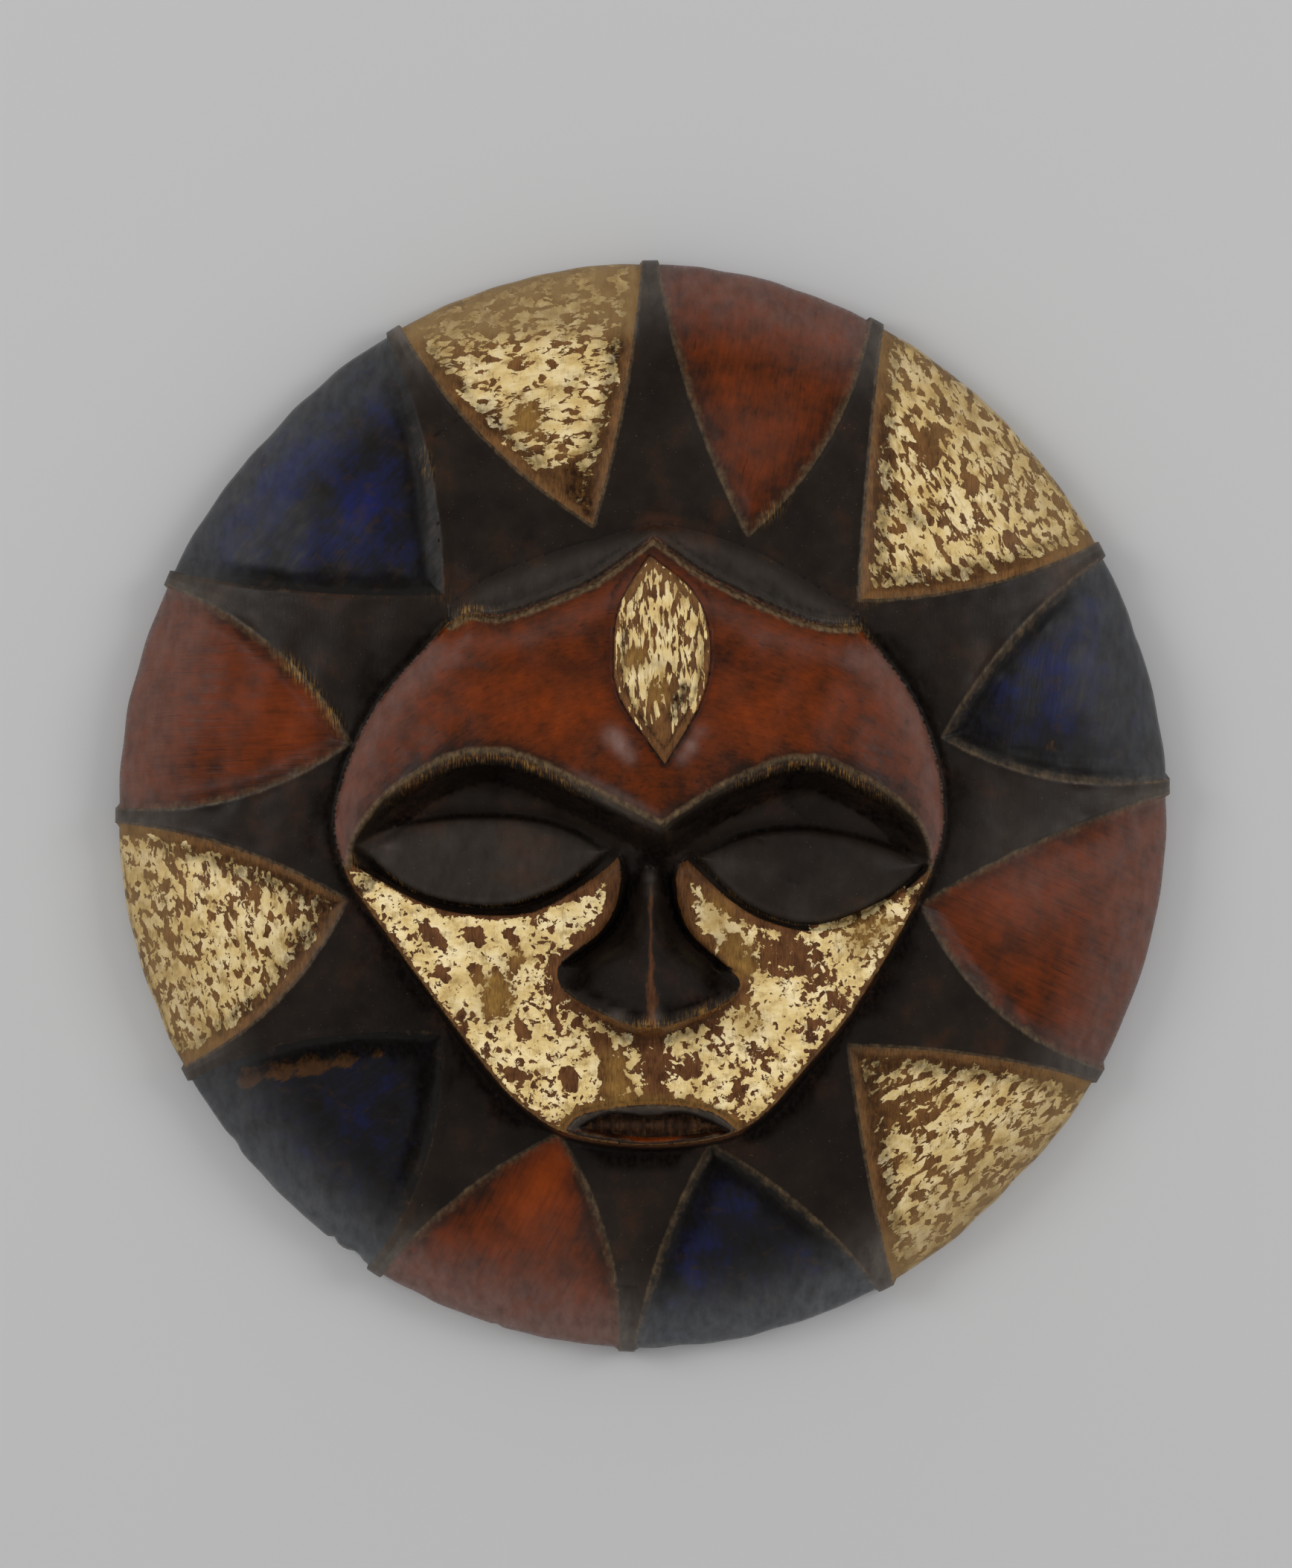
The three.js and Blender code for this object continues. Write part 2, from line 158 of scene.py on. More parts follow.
def unevenness(x, y, wave, seed):  # soft hand-made ups and downs of about this wavelength
    chance = np.random.default_rng(seed)
    total = 0
    for turn, shift, stretch in chance.uniform(0, 1, (9, 3)):
        along = x * math.cos(turn * math.tau) + y * math.sin(turn * math.tau)
        total = total + np.sin(along * math.tau / (wave * (0.7 + 0.8 * stretch)) + shift * math.tau)
    return total / 3


def smoothLine(points, steps=6, closed=False):
    points = np.array(points, float)
    count = len(points)
    line = []
    for i in range(count if closed else count - 1):
        at = [(i + k) % count if closed else min(max(i + k, 0), count - 1) for k in (-1, 0, 1, 2)]
        before, start, end, after = points[at]
        for t in np.arange(steps) / steps:
            leave, arrive = (end - before) / 2, (after - start) / 2
            line.append(
                start * (2 * t ** 3 - 3 * t ** 2 + 1) + leave * (t ** 3 - 2 * t ** 2 + t)
                + end * (3 * t ** 2 - 2 * t ** 3) + arrive * (t ** 3 - t ** 2)
            )
    if not closed:
        line.append(points[-1])
    return np.array(line)


def joined(*parts):  # smooth lines that meet end to end, in sharp corners
    lines = [smoothLine(part) for part in parts]
    return np.concatenate([lines[0]] + [line[1:] for line in lines[1:]])


def closeTo(line, spots, reach):  # the spots that can be within reach of a line
    low, high = line.min(0) - reach, line.max(0) + reach
    return np.flatnonzero(((spots > low) & (spots < high)).all(1))


def nearestOn(line, spots, closed=False, reach=30):
    ends = np.roll(line, -1, axis=0) if closed else line[1:]
    starts = line if closed else line[:-1]
    chosen = closeTo(line, spots, reach)
    here = spots[chosen]
    best = np.full(len(here), 1e6)
    near = here.copy()
    for start, end in zip(starts, ends):
        along = end - start
        length = along @ along
        if length < 1e-12:
            continue
        share = clampShare((here - start) @ along / length)
        foot = start + share[:, None] * along
        gap = ((here - foot) ** 2).sum(1)
        closer = gap < best
        best[closer] = gap[closer]
        near[closer] = foot[closer]
    allGaps, allNear = np.full(len(spots), 999.0), spots.copy()
    allGaps[chosen], allNear[chosen] = np.sqrt(best), near
    return allGaps, allNear


def within(line, spots):
    chosen = closeTo(line, spots, 0)
    x, y = spots[chosen].T
    inside = np.zeros(len(chosen), bool)
    for (ax, ay), (bx, by) in zip(line, np.roll(line, -1, axis=0)):
        if ay != by:
            inside ^= ((ay > y) != (by > y)) & (x < (bx - ax) * (y - ay) / (by - ay) + ax)
    result = np.zeros(len(spots), bool)
    result[chosen] = inside
    return result


def signedGap(line, spots, edge=None, reach=30):  # positive inside; edge is the part that counts
    gap, near = nearestOn(line if edge is None else edge, spots, edge is None, reach)
    return np.where(within(line, spots), gap, -gap), near


def polar(angle, radius):
    return np.array([radius * math.cos(math.radians(angle)), radius * math.sin(math.radians(angle))])


def rimRadius(angle):  # a slightly tall round, a little uneven as it was cut by hand
    across, up = disc["halfWide"], disc["halfHigh"]
    ellipse = across * up / np.hypot(up * np.cos(angle), across * np.sin(angle))
    wave = 1.2 * np.cos(angle) - 1.4 * np.sin(angle) - 0.45 * np.sin(3 * angle) + 0.7 * np.cos(4 * angle)
    return ellipse + wave


def panelLine(index):
    _, tip, apex, bows, _, _ = panels[index]
    before = panels[index - 1][1] + (360 if index == 0 else 0)
    tipAngle = math.degrees(disc["armHalfTip"] / disc["halfWide"])
    ends = [before - tipAngle, tip + tipAngle]
    left, right = [polar(angle, float(rimRadius(math.radians(angle)))) for angle in ends]
    corner = polar(*apex)
    line = [left * 1.1]
    for start, end, bow in ((left, corner, bows[0]), (corner, right, bows[1])):
        along = end - start
        side = np.array([along[1], -along[0]]) / np.hypot(*along)
        control = (start + end) / 2 + side * 2 * bow
        for t in np.arange(10) / 10:
            line.append((1 - t) ** 2 * start + 2 * t * (1 - t) * control + t * t * end)
    return np.array(line + [right, right * 1.1])


hairline = joined(hairLeft, hairRight)
hairTop = joined(hairTopLeft, hairTopRight)
faceOutline = np.concatenate([smoothLine(jawPoints), hairline])
hairOutline = np.concatenate([hairTop, hairline[::-1]])
browLine = joined(browLeft, browRight)
lensLines = [joined(lensLeftTop, lensLeftFoot)[:-1], joined(lensRightTop, lensRightFoot)[:-1]]
lobeLines = [joined(cheekLeft, lobeLeft), joined(lobeRight, cheekRight)]
cheekEdge = np.concatenate(lobeLines)
cheekOutline = np.concatenate([cheekEdge, [(130, -150), (-130, -150)]])
noseOutline = smoothLine(nosePoints, closed=True)
almondOutline = joined(almondLeft, almondRight)[:-1]
lipsOutline = joined(lipsTop, lipsFoot)[:-1]
mouthOutline = joined(mouthTop, mouthFoot)[:-1]
panelLines = [panelLine(index) for index in range(len(panels))]
openLines = [*panelLines, hairTop, browLine, *lobeLines]
closedLines = [faceOutline, *lensLines, noseOutline, almondOutline, lipsOutline, mouthOutline]
carvedLines = [(line, False) for line in openLines] + [(line, True) for line in closedLines]

# narrow cracks, scratches and steps: two ends, half width and depth
cuts = [
    ((54.5, 12), (57.5, 11.4), 1.5, 1.3), ((42, -12.5), (50, -14.5), 0.5, 0.7),
    ((47, -12), (60, -13.5), 0.4, 0.3), ((49, -25), (57, -29), 0.5, 0.5),
    ((42.5, 42), (53, 30), 0.4, 0.25), ((-153, 41), (-150, 48), 0.8, 0.7),
    ((-9, -172.5), (-1.5, -172.5), 0.9, 0.9), ((42, 9), (60, -6), 0.5, 0.4),
    ((114, 112), (117, 106), 0.5, 0.3), ((170, 62), (175, 58), 0.6, 0.6),
    ((-142, -119), (-146, -131), 0.8, 0.6), ((-136, -116), (-125, -135), 0.6, 0.4),
    ((-73, 131), (-62, 138), 0.6, 0.4),
]

# bites out of the rim: angle, half width and depth
bites = [
    (-125, 1.6, 1.6), (-122.2, 2.4, 1.3), (-105.4, 1, 1), (-140, 3, 0.8), (-46, 16, 1), (19, 5, 0.6),
    (136, 6, 0.6),
]


def domeHeight(x, y):
    share = clampShare(np.hypot(x, y) / rimRadius(np.arctan2(y, x)))
    return disc["lip"] + (disc["crown"] - disc["lip"]) * np.sqrt(1 - share ** disc["power"])


def sideFall(x):
    return face["fall"] * ((x - face["middle"]) / 100) ** 2


def softGap(line, spots):  # the distance from an outline, without a crease in the middle
    exact, _ = nearestOn(line, spots, closed=True, reach=60)
    middles = (line + np.roll(line, -1, axis=0)) / 2
    lengths = np.hypot(*(np.roll(line, -1, axis=0) - line).T)
    pull = np.zeros(len(spots))
    for middle, length in zip(middles, lengths):
        pull += length / np.maximum(((spots - middle) ** 2).sum(1), 1) ** 2
    soft = (math.pi / 2 / pull) ** (1 / 3)
    share = smooth(5, 14, exact)
    return exact * (1 - share) + soft * share


def foreheadTop(spots):
    x, y = spots.T
    edge = face["templeRise"] + (face["hairlineRise"] - face["templeRise"]) * smooth(46, 64, y)
    keel = face["keel"] * smooth(70, 5, y) * bell(x, 7, 26)
    roll = rollUp(softGap(faceOutline, spots), face["roll"])
    return domeHeight(x, y) + disc["armRise"] + edge + face["bulge"] * roll + keel


def block(top, gap, rounding, slope):  # lowers a raised block's edge and lets its wall fall away
    inside = gap + rounding / 2
    curve = rounding * slope / 2 * (1 - clampShare(inside / rounding)) ** 2
    return top - np.where(inside < 0, rounding * slope / 2 - inside * slope, curve)


def cheekTop(spots):
    x, y = spots.T
    muzzle = face["muzzle"] * smooth(-30, -112, y) - face["chinFall"] * np.maximum(0, -105 - y)
    return face["cheek"] - sideFall(x) + muzzle


def nostrilPits(x, y, reach):
    return sum(hump(x, y, *place, reach) for place in face["nostrils"])


def noseTop(spots, gap):
    x, y = spots.T
    down = clampShare((face["ridgeTop"] - y) / (face["ridgeTop"] - face["ridgeEnd"]))
    flat = 0.5 + 1.8 * down ** 2
    side = np.maximum(0, np.hypot(x - face["middle"], 1.3) - flat)
    steep, broad = face["noseSlopes"]
    slope = steep + (broad - steep) * smooth(-36, -58, y)
    valley = face["noseValley"] * bell(np.maximum(gap, 0), 0, 4.5) * smooth(-67, -57, y)
    pits = face["nostrilDepth"] * nostrilPits(x, y, 4.5)
    return face["noseRoot"] + (face["noseTip"] - face["noseRoot"]) * down - slope * side - valley - pits


def almondTop(gap):
    border = 0.4 * (bell(gap, 1.4, 1) - bell(gap, 3.1, 0.8))
    return face["almondRise"] + border + 2.4 * rollUp(gap - 3.2, 9)


def survey(spots):  # how far each spot lies inside or outside each carved outline
    at = {"x": spots[:, 0], "y": spots[:, 1], "spots": spots}
    at["angle"] = np.arctan2(at["y"], at["x"])
    at["share"] = np.hypot(at["x"], at["y"]) / rimRadius(at["angle"])
    gaps = np.array([signedGap(line, spots, line)[0] for line in panelLines])
    at["panel"] = np.argmax(gaps, axis=0)
    at["panelGap"] = gaps[at["panel"], np.arange(len(spots))]
    at["hair"], _ = signedGap(hairOutline, spots)
    at["toHairTop"], _ = nearestOn(hairTop, spots, reach=50)
    at["toHairline"], _ = nearestOn(hairline, spots, reach=50)
    at["face"], at["onFace"] = signedGap(faceOutline, spots, reach=60)
    at["brow"], at["onBrow"] = nearestOn(browLine, spots, reach=60)
    at["lenses"] = [signedGap(line, spots) for line in lensLines]
    at["lens"] = np.max([gap for gap, _ in at["lenses"]], axis=0)
    at["cheek"], _ = signedGap(cheekOutline, spots, cheekEdge)
    at["nose"], at["onNose"] = signedGap(noseOutline, spots)
    at["almond"], _ = signedGap(almondOutline, spots)
    at["lips"], _ = signedGap(lipsOutline, spots)
    at["mouth"], _ = signedGap(mouthOutline, spots)
    at["above"] = at["y"] > np.interp(at["x"], browLine[:, 0], browLine[:, 1])
    return at


def lowerFace(at, spots):
    x, y = spots.T
    # the brow's worn under-edge, wider over the middle of each eye, and the fall from it to the hollow
    band = face["browBand"] + 3 * bell(x, -50, 34) + 2.6 * bell(x, 60, 32)
    bridge = face["bridge"] * bell(x, face["middle"], 13) * smooth(-36, -16, y)
    floor = face["socketFloor"] - sideFall(x) + bridge
    crest = np.interp(at["onBrow"][:, 0], browLine[:, 0], foreheadTop(browLine))
    bevel = face["browBevel"] * clampShare(at["brow"] / band) ** 1.15
    drop = np.exp(-np.maximum(0, at["brow"] - band) / face["socketReach"])
    low = floor + np.maximum(0, crest - bevel - floor) * drop
    for gap, near in at["lenses"]:
        edgeTop = face["lens"] - sideFall(np.where(gap > 0, x, near[:, 0]))
        lens = block(edgeTop + face["lensBulge"] * rollUp(gap, face["lensRoll"]), gap, 1, 4)
        # a groove around the lens, deeper below it, but not under the outer half of the right one
        moat = (0.5 + 2 * smooth(-12, -22, y)) * (1 - 0.85 * smooth(56, 64, x) * smooth(98, 90, x))
        low = low - moat * bell(gap, -2, 2) * (gap < 1)
        low = softMax(low, lens, 0.5)
    lobe = bell(x, face["middle"], 24, 4) * smooth(-62, -50, y)
    cheeks = block(cheekTop(spots), at["cheek"], 1.3 + 5 * lobe, 4 - 1.6 * lobe)
    low = softMax(low, cheeks, 0.6)
    place = np.where((at["nose"] > 0)[:, None], spots, at["onNose"])
    low = softMax(low, block(noseTop(place, at["nose"]), at["nose"], 1.2, 5), 0.8)
    lips = block(cheekTop(spots) + face["lipRise"], at["lips"], 3, 2)
    low = np.where(at["lips"] > -4, softMax(low, lips, 0.5), low)
    cut = face["mouthFloor"] + 5 * np.maximum(0, -at["mouth"]) + 1.2 * bell(y, -113, 1.5)
    return np.where(at["mouth"] > -4, -softMax(-low, -cut, 0.5), low)


def faceTop(at, spots):
    forehead = np.zeros(len(spots))
    upper = spots[:, 1] > -30  # no part of the forehead reaches lower
    forehead[upper] = foreheadTop(spots[upper])
    raised = block(forehead + almondTop(at["almond"]), at["almond"], 0.9, 3)
    forehead = np.where(at["almond"] > -3, softMax(forehead, raised, 0.5), forehead)
    return np.where(at["above"], forehead, lowerFace(at, spots))


def groundHeight(at):  # the dome with its arms, sunk panels and hair
    x, y, gap, share = at["x"], at["y"], at["panelGap"], at["share"]
    dome = domeHeight(x, y)
    # the arms stand over the panels, whose middles swell up again
    step = disc["armRise"] * (1 - smooth(-1.4, disc["borderWide"], gap))
    swell = disc["pillow"] * smooth(0, disc["pillowReach"], gap) * (1 - smooth(0.93, 1, share))
    ground = dome + step + swell + 0.15 * bell(gap, -1, 1.2)
    ground += 0.16 * unevenness(x, y, 19, 1) * smooth(0, 4, np.abs(gap)) + 0.05 * unevenness(x, y, 8, 2)
    slope = at["toHairTop"] / np.maximum(at["toHairTop"] + at["toHairline"], 0.01)
    ends = 0.5 + 0.5 * smooth(-67, -40, x) * smooth(77, 50, x)
    hair = dome + disc["armRise"] + face["hairStart"] + (face["hairRise"] * ends - face["hairStart"]) * slope
    return np.where(at["hair"] > -0.01, hair + 0.12 * unevenness(x, y, 11, 6), ground)


def carvedHeight(at):
    x, y = at["x"], at["y"]
    ground = groundHeight(at)
    near = at["face"] > -14
    part = {
        name: [(gap[near], spot[near]) for gap, spot in value] if name == "lenses" else value[near]
        for name, value in at.items()
    }
    top = np.zeros(len(x))
    top[near] = faceTop(part, np.where((part["face"] > 0)[:, None], part["spots"], part["onFace"]))
    wall = block(top, at["face"], 1.2, face["wallSlope"])
    atHair = at["toHairline"] < np.abs(at["face"]) + 0.01
    height = np.where(near, softMax(ground, wall, 1.6), ground)
    height = np.where(at["face"] > 0.5, wall, height)
    # against the hair the forehead meets the ground softly, with a groove along the hairline
    share = smooth(-0.8, 0.8, at["face"])
    height = np.where(atHair, ground + (top - ground) * np.where(near, share, 0), height)
    height -= 1.3 * bell(at["toHairline"] * np.where(at["face"] > 0, 1, -1), -0.2, 0.7)
    height += 0.15 * unevenness(x, y, 15, 3) * (at["face"] > 0)
    for start, end, half, depth in cuts:
        gap, _ = nearestOn(np.array([start, end], float), at["spots"], reach=4)
        height -= depth * bell(gap, 0, half)
    return height


# how fine the sheet is, in cells and in millimetres to each side of a carved line, and the rows of
# the turned-back lip, each by how far it stands out from the rim and its height
sheet = {
    "cells": 136, "backCells": 68, "squeeze": 1.25, "bands": (4, 1.9),
    "lipRows": ((0.5, 4.6), (-0.4, 1.7), (-1.6, 0)), "apart": 300,
}


def ringPlace(a, b):  # a square's rings become the disc's rings
    if a == 0 and b == 0:
        return 0.0, 0.0
    if abs(a) > abs(b):
        ring, angle = a, math.pi / 4 * b / a
    else:
        ring, angle = b, math.pi / 2 - math.pi / 4 * a / b
    return abs(ring), angle + (math.pi if ring < 0 else 0)


def backPlace(ring, angle):  # a flat ledge around a hollow that follows the dome
    rings = sheet["backCells"] / 2
    step = rings * (1 - ring)
    rim = float(rimRadius(angle))
    if step < 2.5:
        radius, height = rim - 3.5 - step * (disc["ledge"] - 4) / 2, 0
    else:
        share = math.cos((step - 2) / (rings - 2) * math.pi / 2) ** 0.8 if step < rings else 0
        radius = (rim - disc["ledge"]) * share
        height = (disc["crown"] - disc["wall"]) * math.sqrt(1 - share ** disc["power"])
    x, y = radius * math.cos(angle), radius * math.sin(angle)
    if height > 0:
        height += disc["faceHollow"] * float(hump(x, y, 4, -20, disc["faceHollowReach"]))
        height += 0.6 * float(unevenness(x, y, 26, 5)) * min(1, height / 8)
    return x, y, height


def angleOf(vert):
    return math.atan2(vert.co.y, vert.co.x)


def addGrid(bm, cells):
    return bmesh.ops.create_grid(bm, x_segments=cells, y_segments=cells, size=1)["verts"]


def makeSheet():
    bm = bmesh.new()
    side = bm.verts.layers.int.new("side")  # 0 is the front, 1 the rim, 2 the back
    addGrid(bm, sheet["cells"])
    for vert in bm.verts:
        ring, angle = ringPlace(vert.co.x, vert.co.y)
        radius = (1 - (1 - min(ring, 1)) ** sheet["squeeze"]) * float(rimRadius(angle))
        vert.co = (radius * math.cos(angle), radius * math.sin(angle), disc["lip"])
    edges = [edge for edge in bm.edges if edge.is_boundary]
    for out, height in sheet["lipRows"]:
        grown = bmesh.ops.extrude_edge_only(bm, edges=edges)["geom"]
        for vert in [item for item in grown if isinstance(item, bmesh.types.BMVert)]:
            angle = angleOf(vert)
            radius = float(rimRadius(angle)) + out
            vert.co = (radius * math.cos(angle), radius * math.sin(angle), height)
            vert[side] = 1
        edges = [item for item in grown if isinstance(item, bmesh.types.BMEdge) and item.is_boundary]
    # every other corner of the lip's last row goes, so that it has as many as the back's ring
    ring = sorted({vert for edge in edges for vert in edge.verts}, key=angleOf)
    odd = [round(angleOf(vert) * len(ring) / math.tau) % 2 for vert in ring]
    bmesh.ops.weld_verts(bm, targetmap={vert: ring[i - 1] for i, vert in enumerate(ring) if odd[i]})
    back = addGrid(bm, sheet["backCells"])
    for vert in back:
        vert[side] = 2
        vert.co = backPlace(*ringPlace(vert.co.x, vert.co.y))
    # the back is moved away while the two rings are bridged, so that they join the right way round
    bmesh.ops.translate(bm, vec=(0, 0, -sheet["apart"]), verts=back)
    bmesh.ops.bridge_loops(bm, edges=[edge for edge in bm.edges if edge.is_boundary])
    bmesh.ops.translate(bm, vec=(0, 0, sheet["apart"]), verts=back)
    return bm, side


def refine(bm, side, band, faceToo):  # splits the cells near carved lines
    verts = [vert for vert in bm.verts if vert[side] == 0]
    spots = np.array([vert.co.xy for vert in verts])
    gap = np.min([nearestOn(line, spots, closed, 8)[0] for line, closed in carvedLines], axis=0)
    near = gap < band
    if faceToo:
        near |= within(faceOutline, spots)
    chosen = {vert for vert, take in zip(verts, near) if take}
    edges = set()
    for cell in bm.faces:
        if all(vert[side] == 0 for vert in cell.verts) and any(vert in chosen for vert in cell.verts):
            edges.update(cell.edges)
    bmesh.ops.subdivide_edges(bm, edges=list(edges), cuts=1, use_grid_fill=True, use_single_edge=True)
    print("refined to", len(bm.faces), "cells")


def snapToLines(bm, side):  # puts the nearest corners of the cells on the carved lines
    verts = [vert for vert in bm.verts if vert[side] == 0]
    spots = np.array([vert.co.xy for vert in verts])
    free = np.array([0.45 * min(edge.calc_length() for edge in vert.link_edges) for vert in verts])
    best = np.full(len(spots), 1e9)
    target = spots.copy()
    for line, closed in carvedLines:
        gap, near = nearestOn(line, spots, closed, 4)
        closer = gap < best
        best[closer] = gap[closer]
        target[closer] = near[closer]
    rim = np.hypot(*spots.T) / rimRadius(np.arctan2(spots[:, 1], spots[:, 0])) > 0.9995
    for vert, spot, move in zip(verts, target, (best < free) & ~rim):
        if move:
            vert.co.x, vert.co.y = spot


def carve(bm, side):
    verts = [vert for vert in bm.verts if vert[side] < 2]
    spots = np.array([vert.co.xy for vert in verts])
    front = np.array([vert[side] == 0 for vert in verts])
    at = survey(spots)
    height = carvedHeight(at)
    arm = (at["panelGap"] < 0) * smooth(0.93, 1, at["share"]) * disc["armOverhang"]
    arm = arm + 0.25 * unevenness(at["x"], at["y"], 17, 4) * smooth(0.9, 1, at["share"])
    for middle, half, depth in bites:
        bite = bell(np.degrees(at["angle"]), middle, np.degrees(half / disc["halfWide"]))
        arm = arm - depth * bite * smooth(0.97, 1, at["share"])
    for vert, z, out, turn, up in zip(verts, height, arm, at["angle"], front):
        vert.co.x += out * math.cos(turn)
        vert.co.y += out * math.sin(turn)
        if up:
            vert.co.z = z
    print("carved", len(verts), "points")
    return verts, at


# where paint lies thicker or is rubbed away: x, y, reach and amount, one list for each paint
creamSpots = [
    (-51, -64, 5, -0.35), (-50, -71, 5, -0.35), (-43, -54, 3.5, -0.25), (-8.5, -91, 4.5, -0.4),
    (-8, -100, 4.5, -0.4), (-1.6, -90, 1, 0.5), (-0.8, -96, 1, 0.5), (0.3, -101, 1, 0.5),
    (2, -106, 1, 0.4), (40, -76, 5, -0.06), (79, -47, 6, -0.14), (47, -53, 6.5, -0.3),
    (57, -54, 7, -0.3), (64, -60, 4.5, -0.22), (70, -70, 4.5, -0.24), (60, -79, 4, -0.24),
    (60, -67, 3.5, -0.2), (43, -88, 5, -0.24), (18, -92, 4.5, -0.26), (26.5, -82, 4.5, -0.24),
    (34, -101, 4, -0.24), (25, -43, 3.5, 0.35), (28, -52, 3.5, 0.35), (31, -60, 3.5, 0.3),
    (52, -76, 26, 0.05), (-72, -45.5, 5, 0.12), (-58, -46.5, 4.5, 0.12), (-44.5, -47.5, 4, 0.16),
    (-57, -61, 4.5, 0.24), (-40.5, -79.5, 4, 0.1), (-35, -44, 5, -0.1), (-37, -69, 5, -0.1),
    (-28, -76, 5, -0.1), (-21, -80, 4, -0.1), (-32, -98, 4, -0.1), (33, -50, 4.5, -0.3),
    (37, -57, 4, -0.3), (5, -83, 4.5, -0.5), (5.5, -92, 4, -0.5), (6, -100, 4, -0.45),
    (-40, 137, 6, -0.3), (-26, 114, 6, -0.25), (-34, 172, 22, -0.05), (-10, 172, 16, -0.04),
    (-62, 160, 16, -0.04), (104, 130, 6, -0.3), (104, 121, 4, -0.2), (-137, -35, 4, -0.1),
    (-106, -37, 5, -0.1), (88, -106, 12, -0.14), (104, -104, 7, -0.1), (-2.2, 50.6, 4, -0.3),
    (7, 39, 5, -0.2), (-36, 150, 17, 0.13), (-58, 152, 9, 0.06), (3.7, 76, 9, -0.1),
    (10, 24, 9, -0.3), (14, 70, 5, -0.1), (-68, -60, 24, 0.05), (-26, 115, 6, -0.15),
]
redSpots = [
    (-119, 34, 20, 0.1), (-137, 29, 16, 0.08), (40, 124, 16, 0.02), (-34, -135, 13, 0.2),
    (-42, -150, 12, 0.1), (-20, -137, 6, -0.14), (-17, -150, 6, -0.14), (-16, -161, 6, -0.1),
    (-56, -140, 5, -0.1), (119, -32, 15, 0.08), (138, -27, 14, 0.06), (-41, 34, 20, 0.08),
    (-60, 44, 12, 0.04), (-26, 31, 14, 0.08), (50, 29, 16, 0.08), (37, 31, 14, 0.06),
    (70, 36, 12, 0.05), (7, 20, 8, -0.05), (-31, -126, 7, 0.32), (-33, -140, 8, 0.08),
]
blueSpots = [
    (-95, 143, 10, 0.12), (-146, 95, 12, 0.14), (-95, 107, 9, 0.16), (-99, 94, 12, 0.14),
    (-130, 115, 14, 0.12), (-116, 128, 12, 0.14), (-108, 104, 9, 0.06), (-121, 103, 4, -0.25),
    (-113.5, 112, 4, -0.25), (-95.6, 129, 3, -0.2), (125, 37, 14, 0.1), (154, 42, 14, 0.1),
    (154, 69, 14, 0.1), (27, -138, 11, 0.12), (20, -154, 12, 0.08), (11, -166, 12, 0.08),
    (6, -180, 10, 0.04), (-95, -103, 8, 0.06), (-87, -95, 6, 0.12), (-100, -114, 9, 0.06),
    (-74, -114, 4, 0.2), (-122, 112, 30, 0.07), (150, 52, 21, 0.07),
]
# thin tan, ochre or brown smears over or under the paint
smears = [
    (-51, -64, 6, 0.9), (-50, -71, 6, 0.9), (-43, -54, 4, 0.7), (-9, -91, 5, 0.8), (-8, -100, 5, 0.9),
    (-40, 137, 6, 0.9), (33, -50, 6, 0.8), (37, -57, 5, 0.8), (27, -39, 7, 0.7), (40, -76, 6, 0.7),
    (78, -47, 7, 0.9), (87, -43, 5, 0.7), (-140, -98, 6, 0.8), (-128, -95, 6, 0.8),
    (-116, -93, 6, 0.8), (-104, -91, 5, 0.8), (-93, -89, 4, 0.7), (147, 20, 5, 0.5),
    (-115, 110, 5, 0.4), (-132.6, 134.5, 1.6, 0.9), (-135.5, 125, 1.4, 0.9), (-134.5, 121, 1.4, 0.9),
    (-139.8, 127, 1.3, 0.8), (-83, 91, 2.2, 0.7), (-2.2, 50.6, 4, 1), (7, 39, 5, 0.6),
    (3.5, -117, 2, 1),
]
# where golden wood fibres show through the worn edges
frays = [
    (-118, 47, 9, 0.8), (-110, 30, 7, 0.6), (-26, 114, 5, 0.7), (-60, 66, 9, 0.8), (76, 62, 8, 0.6),
    (4, -77, 9, 0.7), (24, -71, 7, 0.7), (6, 45, 3, 0.8), (-100, -18, 5, 0.7), (-80, 119, 7, 0.4),
    (48, 103, 6, 0.4),
]
# painted highlights and sheen, pale where the wax shines: x, y, reach and amount
paintedHighlights = [
    (-9.5, 24, 3, 0.7), (-6.5, 20.5, 3, 0.9), (-3.5, 16.5, 2.5, 0.5), (15, 16, 2.5, 0.5),
    (18, 20, 2.5, 0.75), (21, 25, 2.5, 0.4), (-36, -152, 14, 0.06), (-20, -152, 12, 0.06),
    (-28, -168, 16, 0.1), (-50, -165, 12, 0.08), (36, 130, 16, 0.12), (140, -25, 24, 0.2),
    (-7.5, -74, 2.6, 0.35), (6, -74, 2.2, 0.35), (4, -26, 2, 0.3), (4, -31, 1.8, 0.2),
    (-92, -19, 5, 0.15), (-14, -20, 5, 0.15), (30, -22, 7, 0.16), (45, -24, 4, 0.08),
    (58, -37, 6, 0.08),
]
# black and blue-black smudges
smudges = [
    (13.8, 36, 2, 2.2), (11.5, 31, 1.8, 2), (15.8, 40.5, 1.6, 2), (97, 102, 2.4, 1.1),
    (101, 100, 1.6, 1), (94, 104.5, 1.5, 0.8), (56, 11.6, 1.7, 1), (-24, 118, 3, 1.6),
    (-21, 111, 3.5, 1.8), (-18, 104, 2.5, 1.2), (-76, 155, 5, 0.5), (-83, 150, 5, 0.5),
    (-10, 163, 6, 0.4),
]


def spotted(at, spotList):
    total = np.zeros(len(at["x"]))
    for x, y, reach, amount in spotList:
        total += amount * hump(at["x"], at["y"], x, y, reach)
    return total


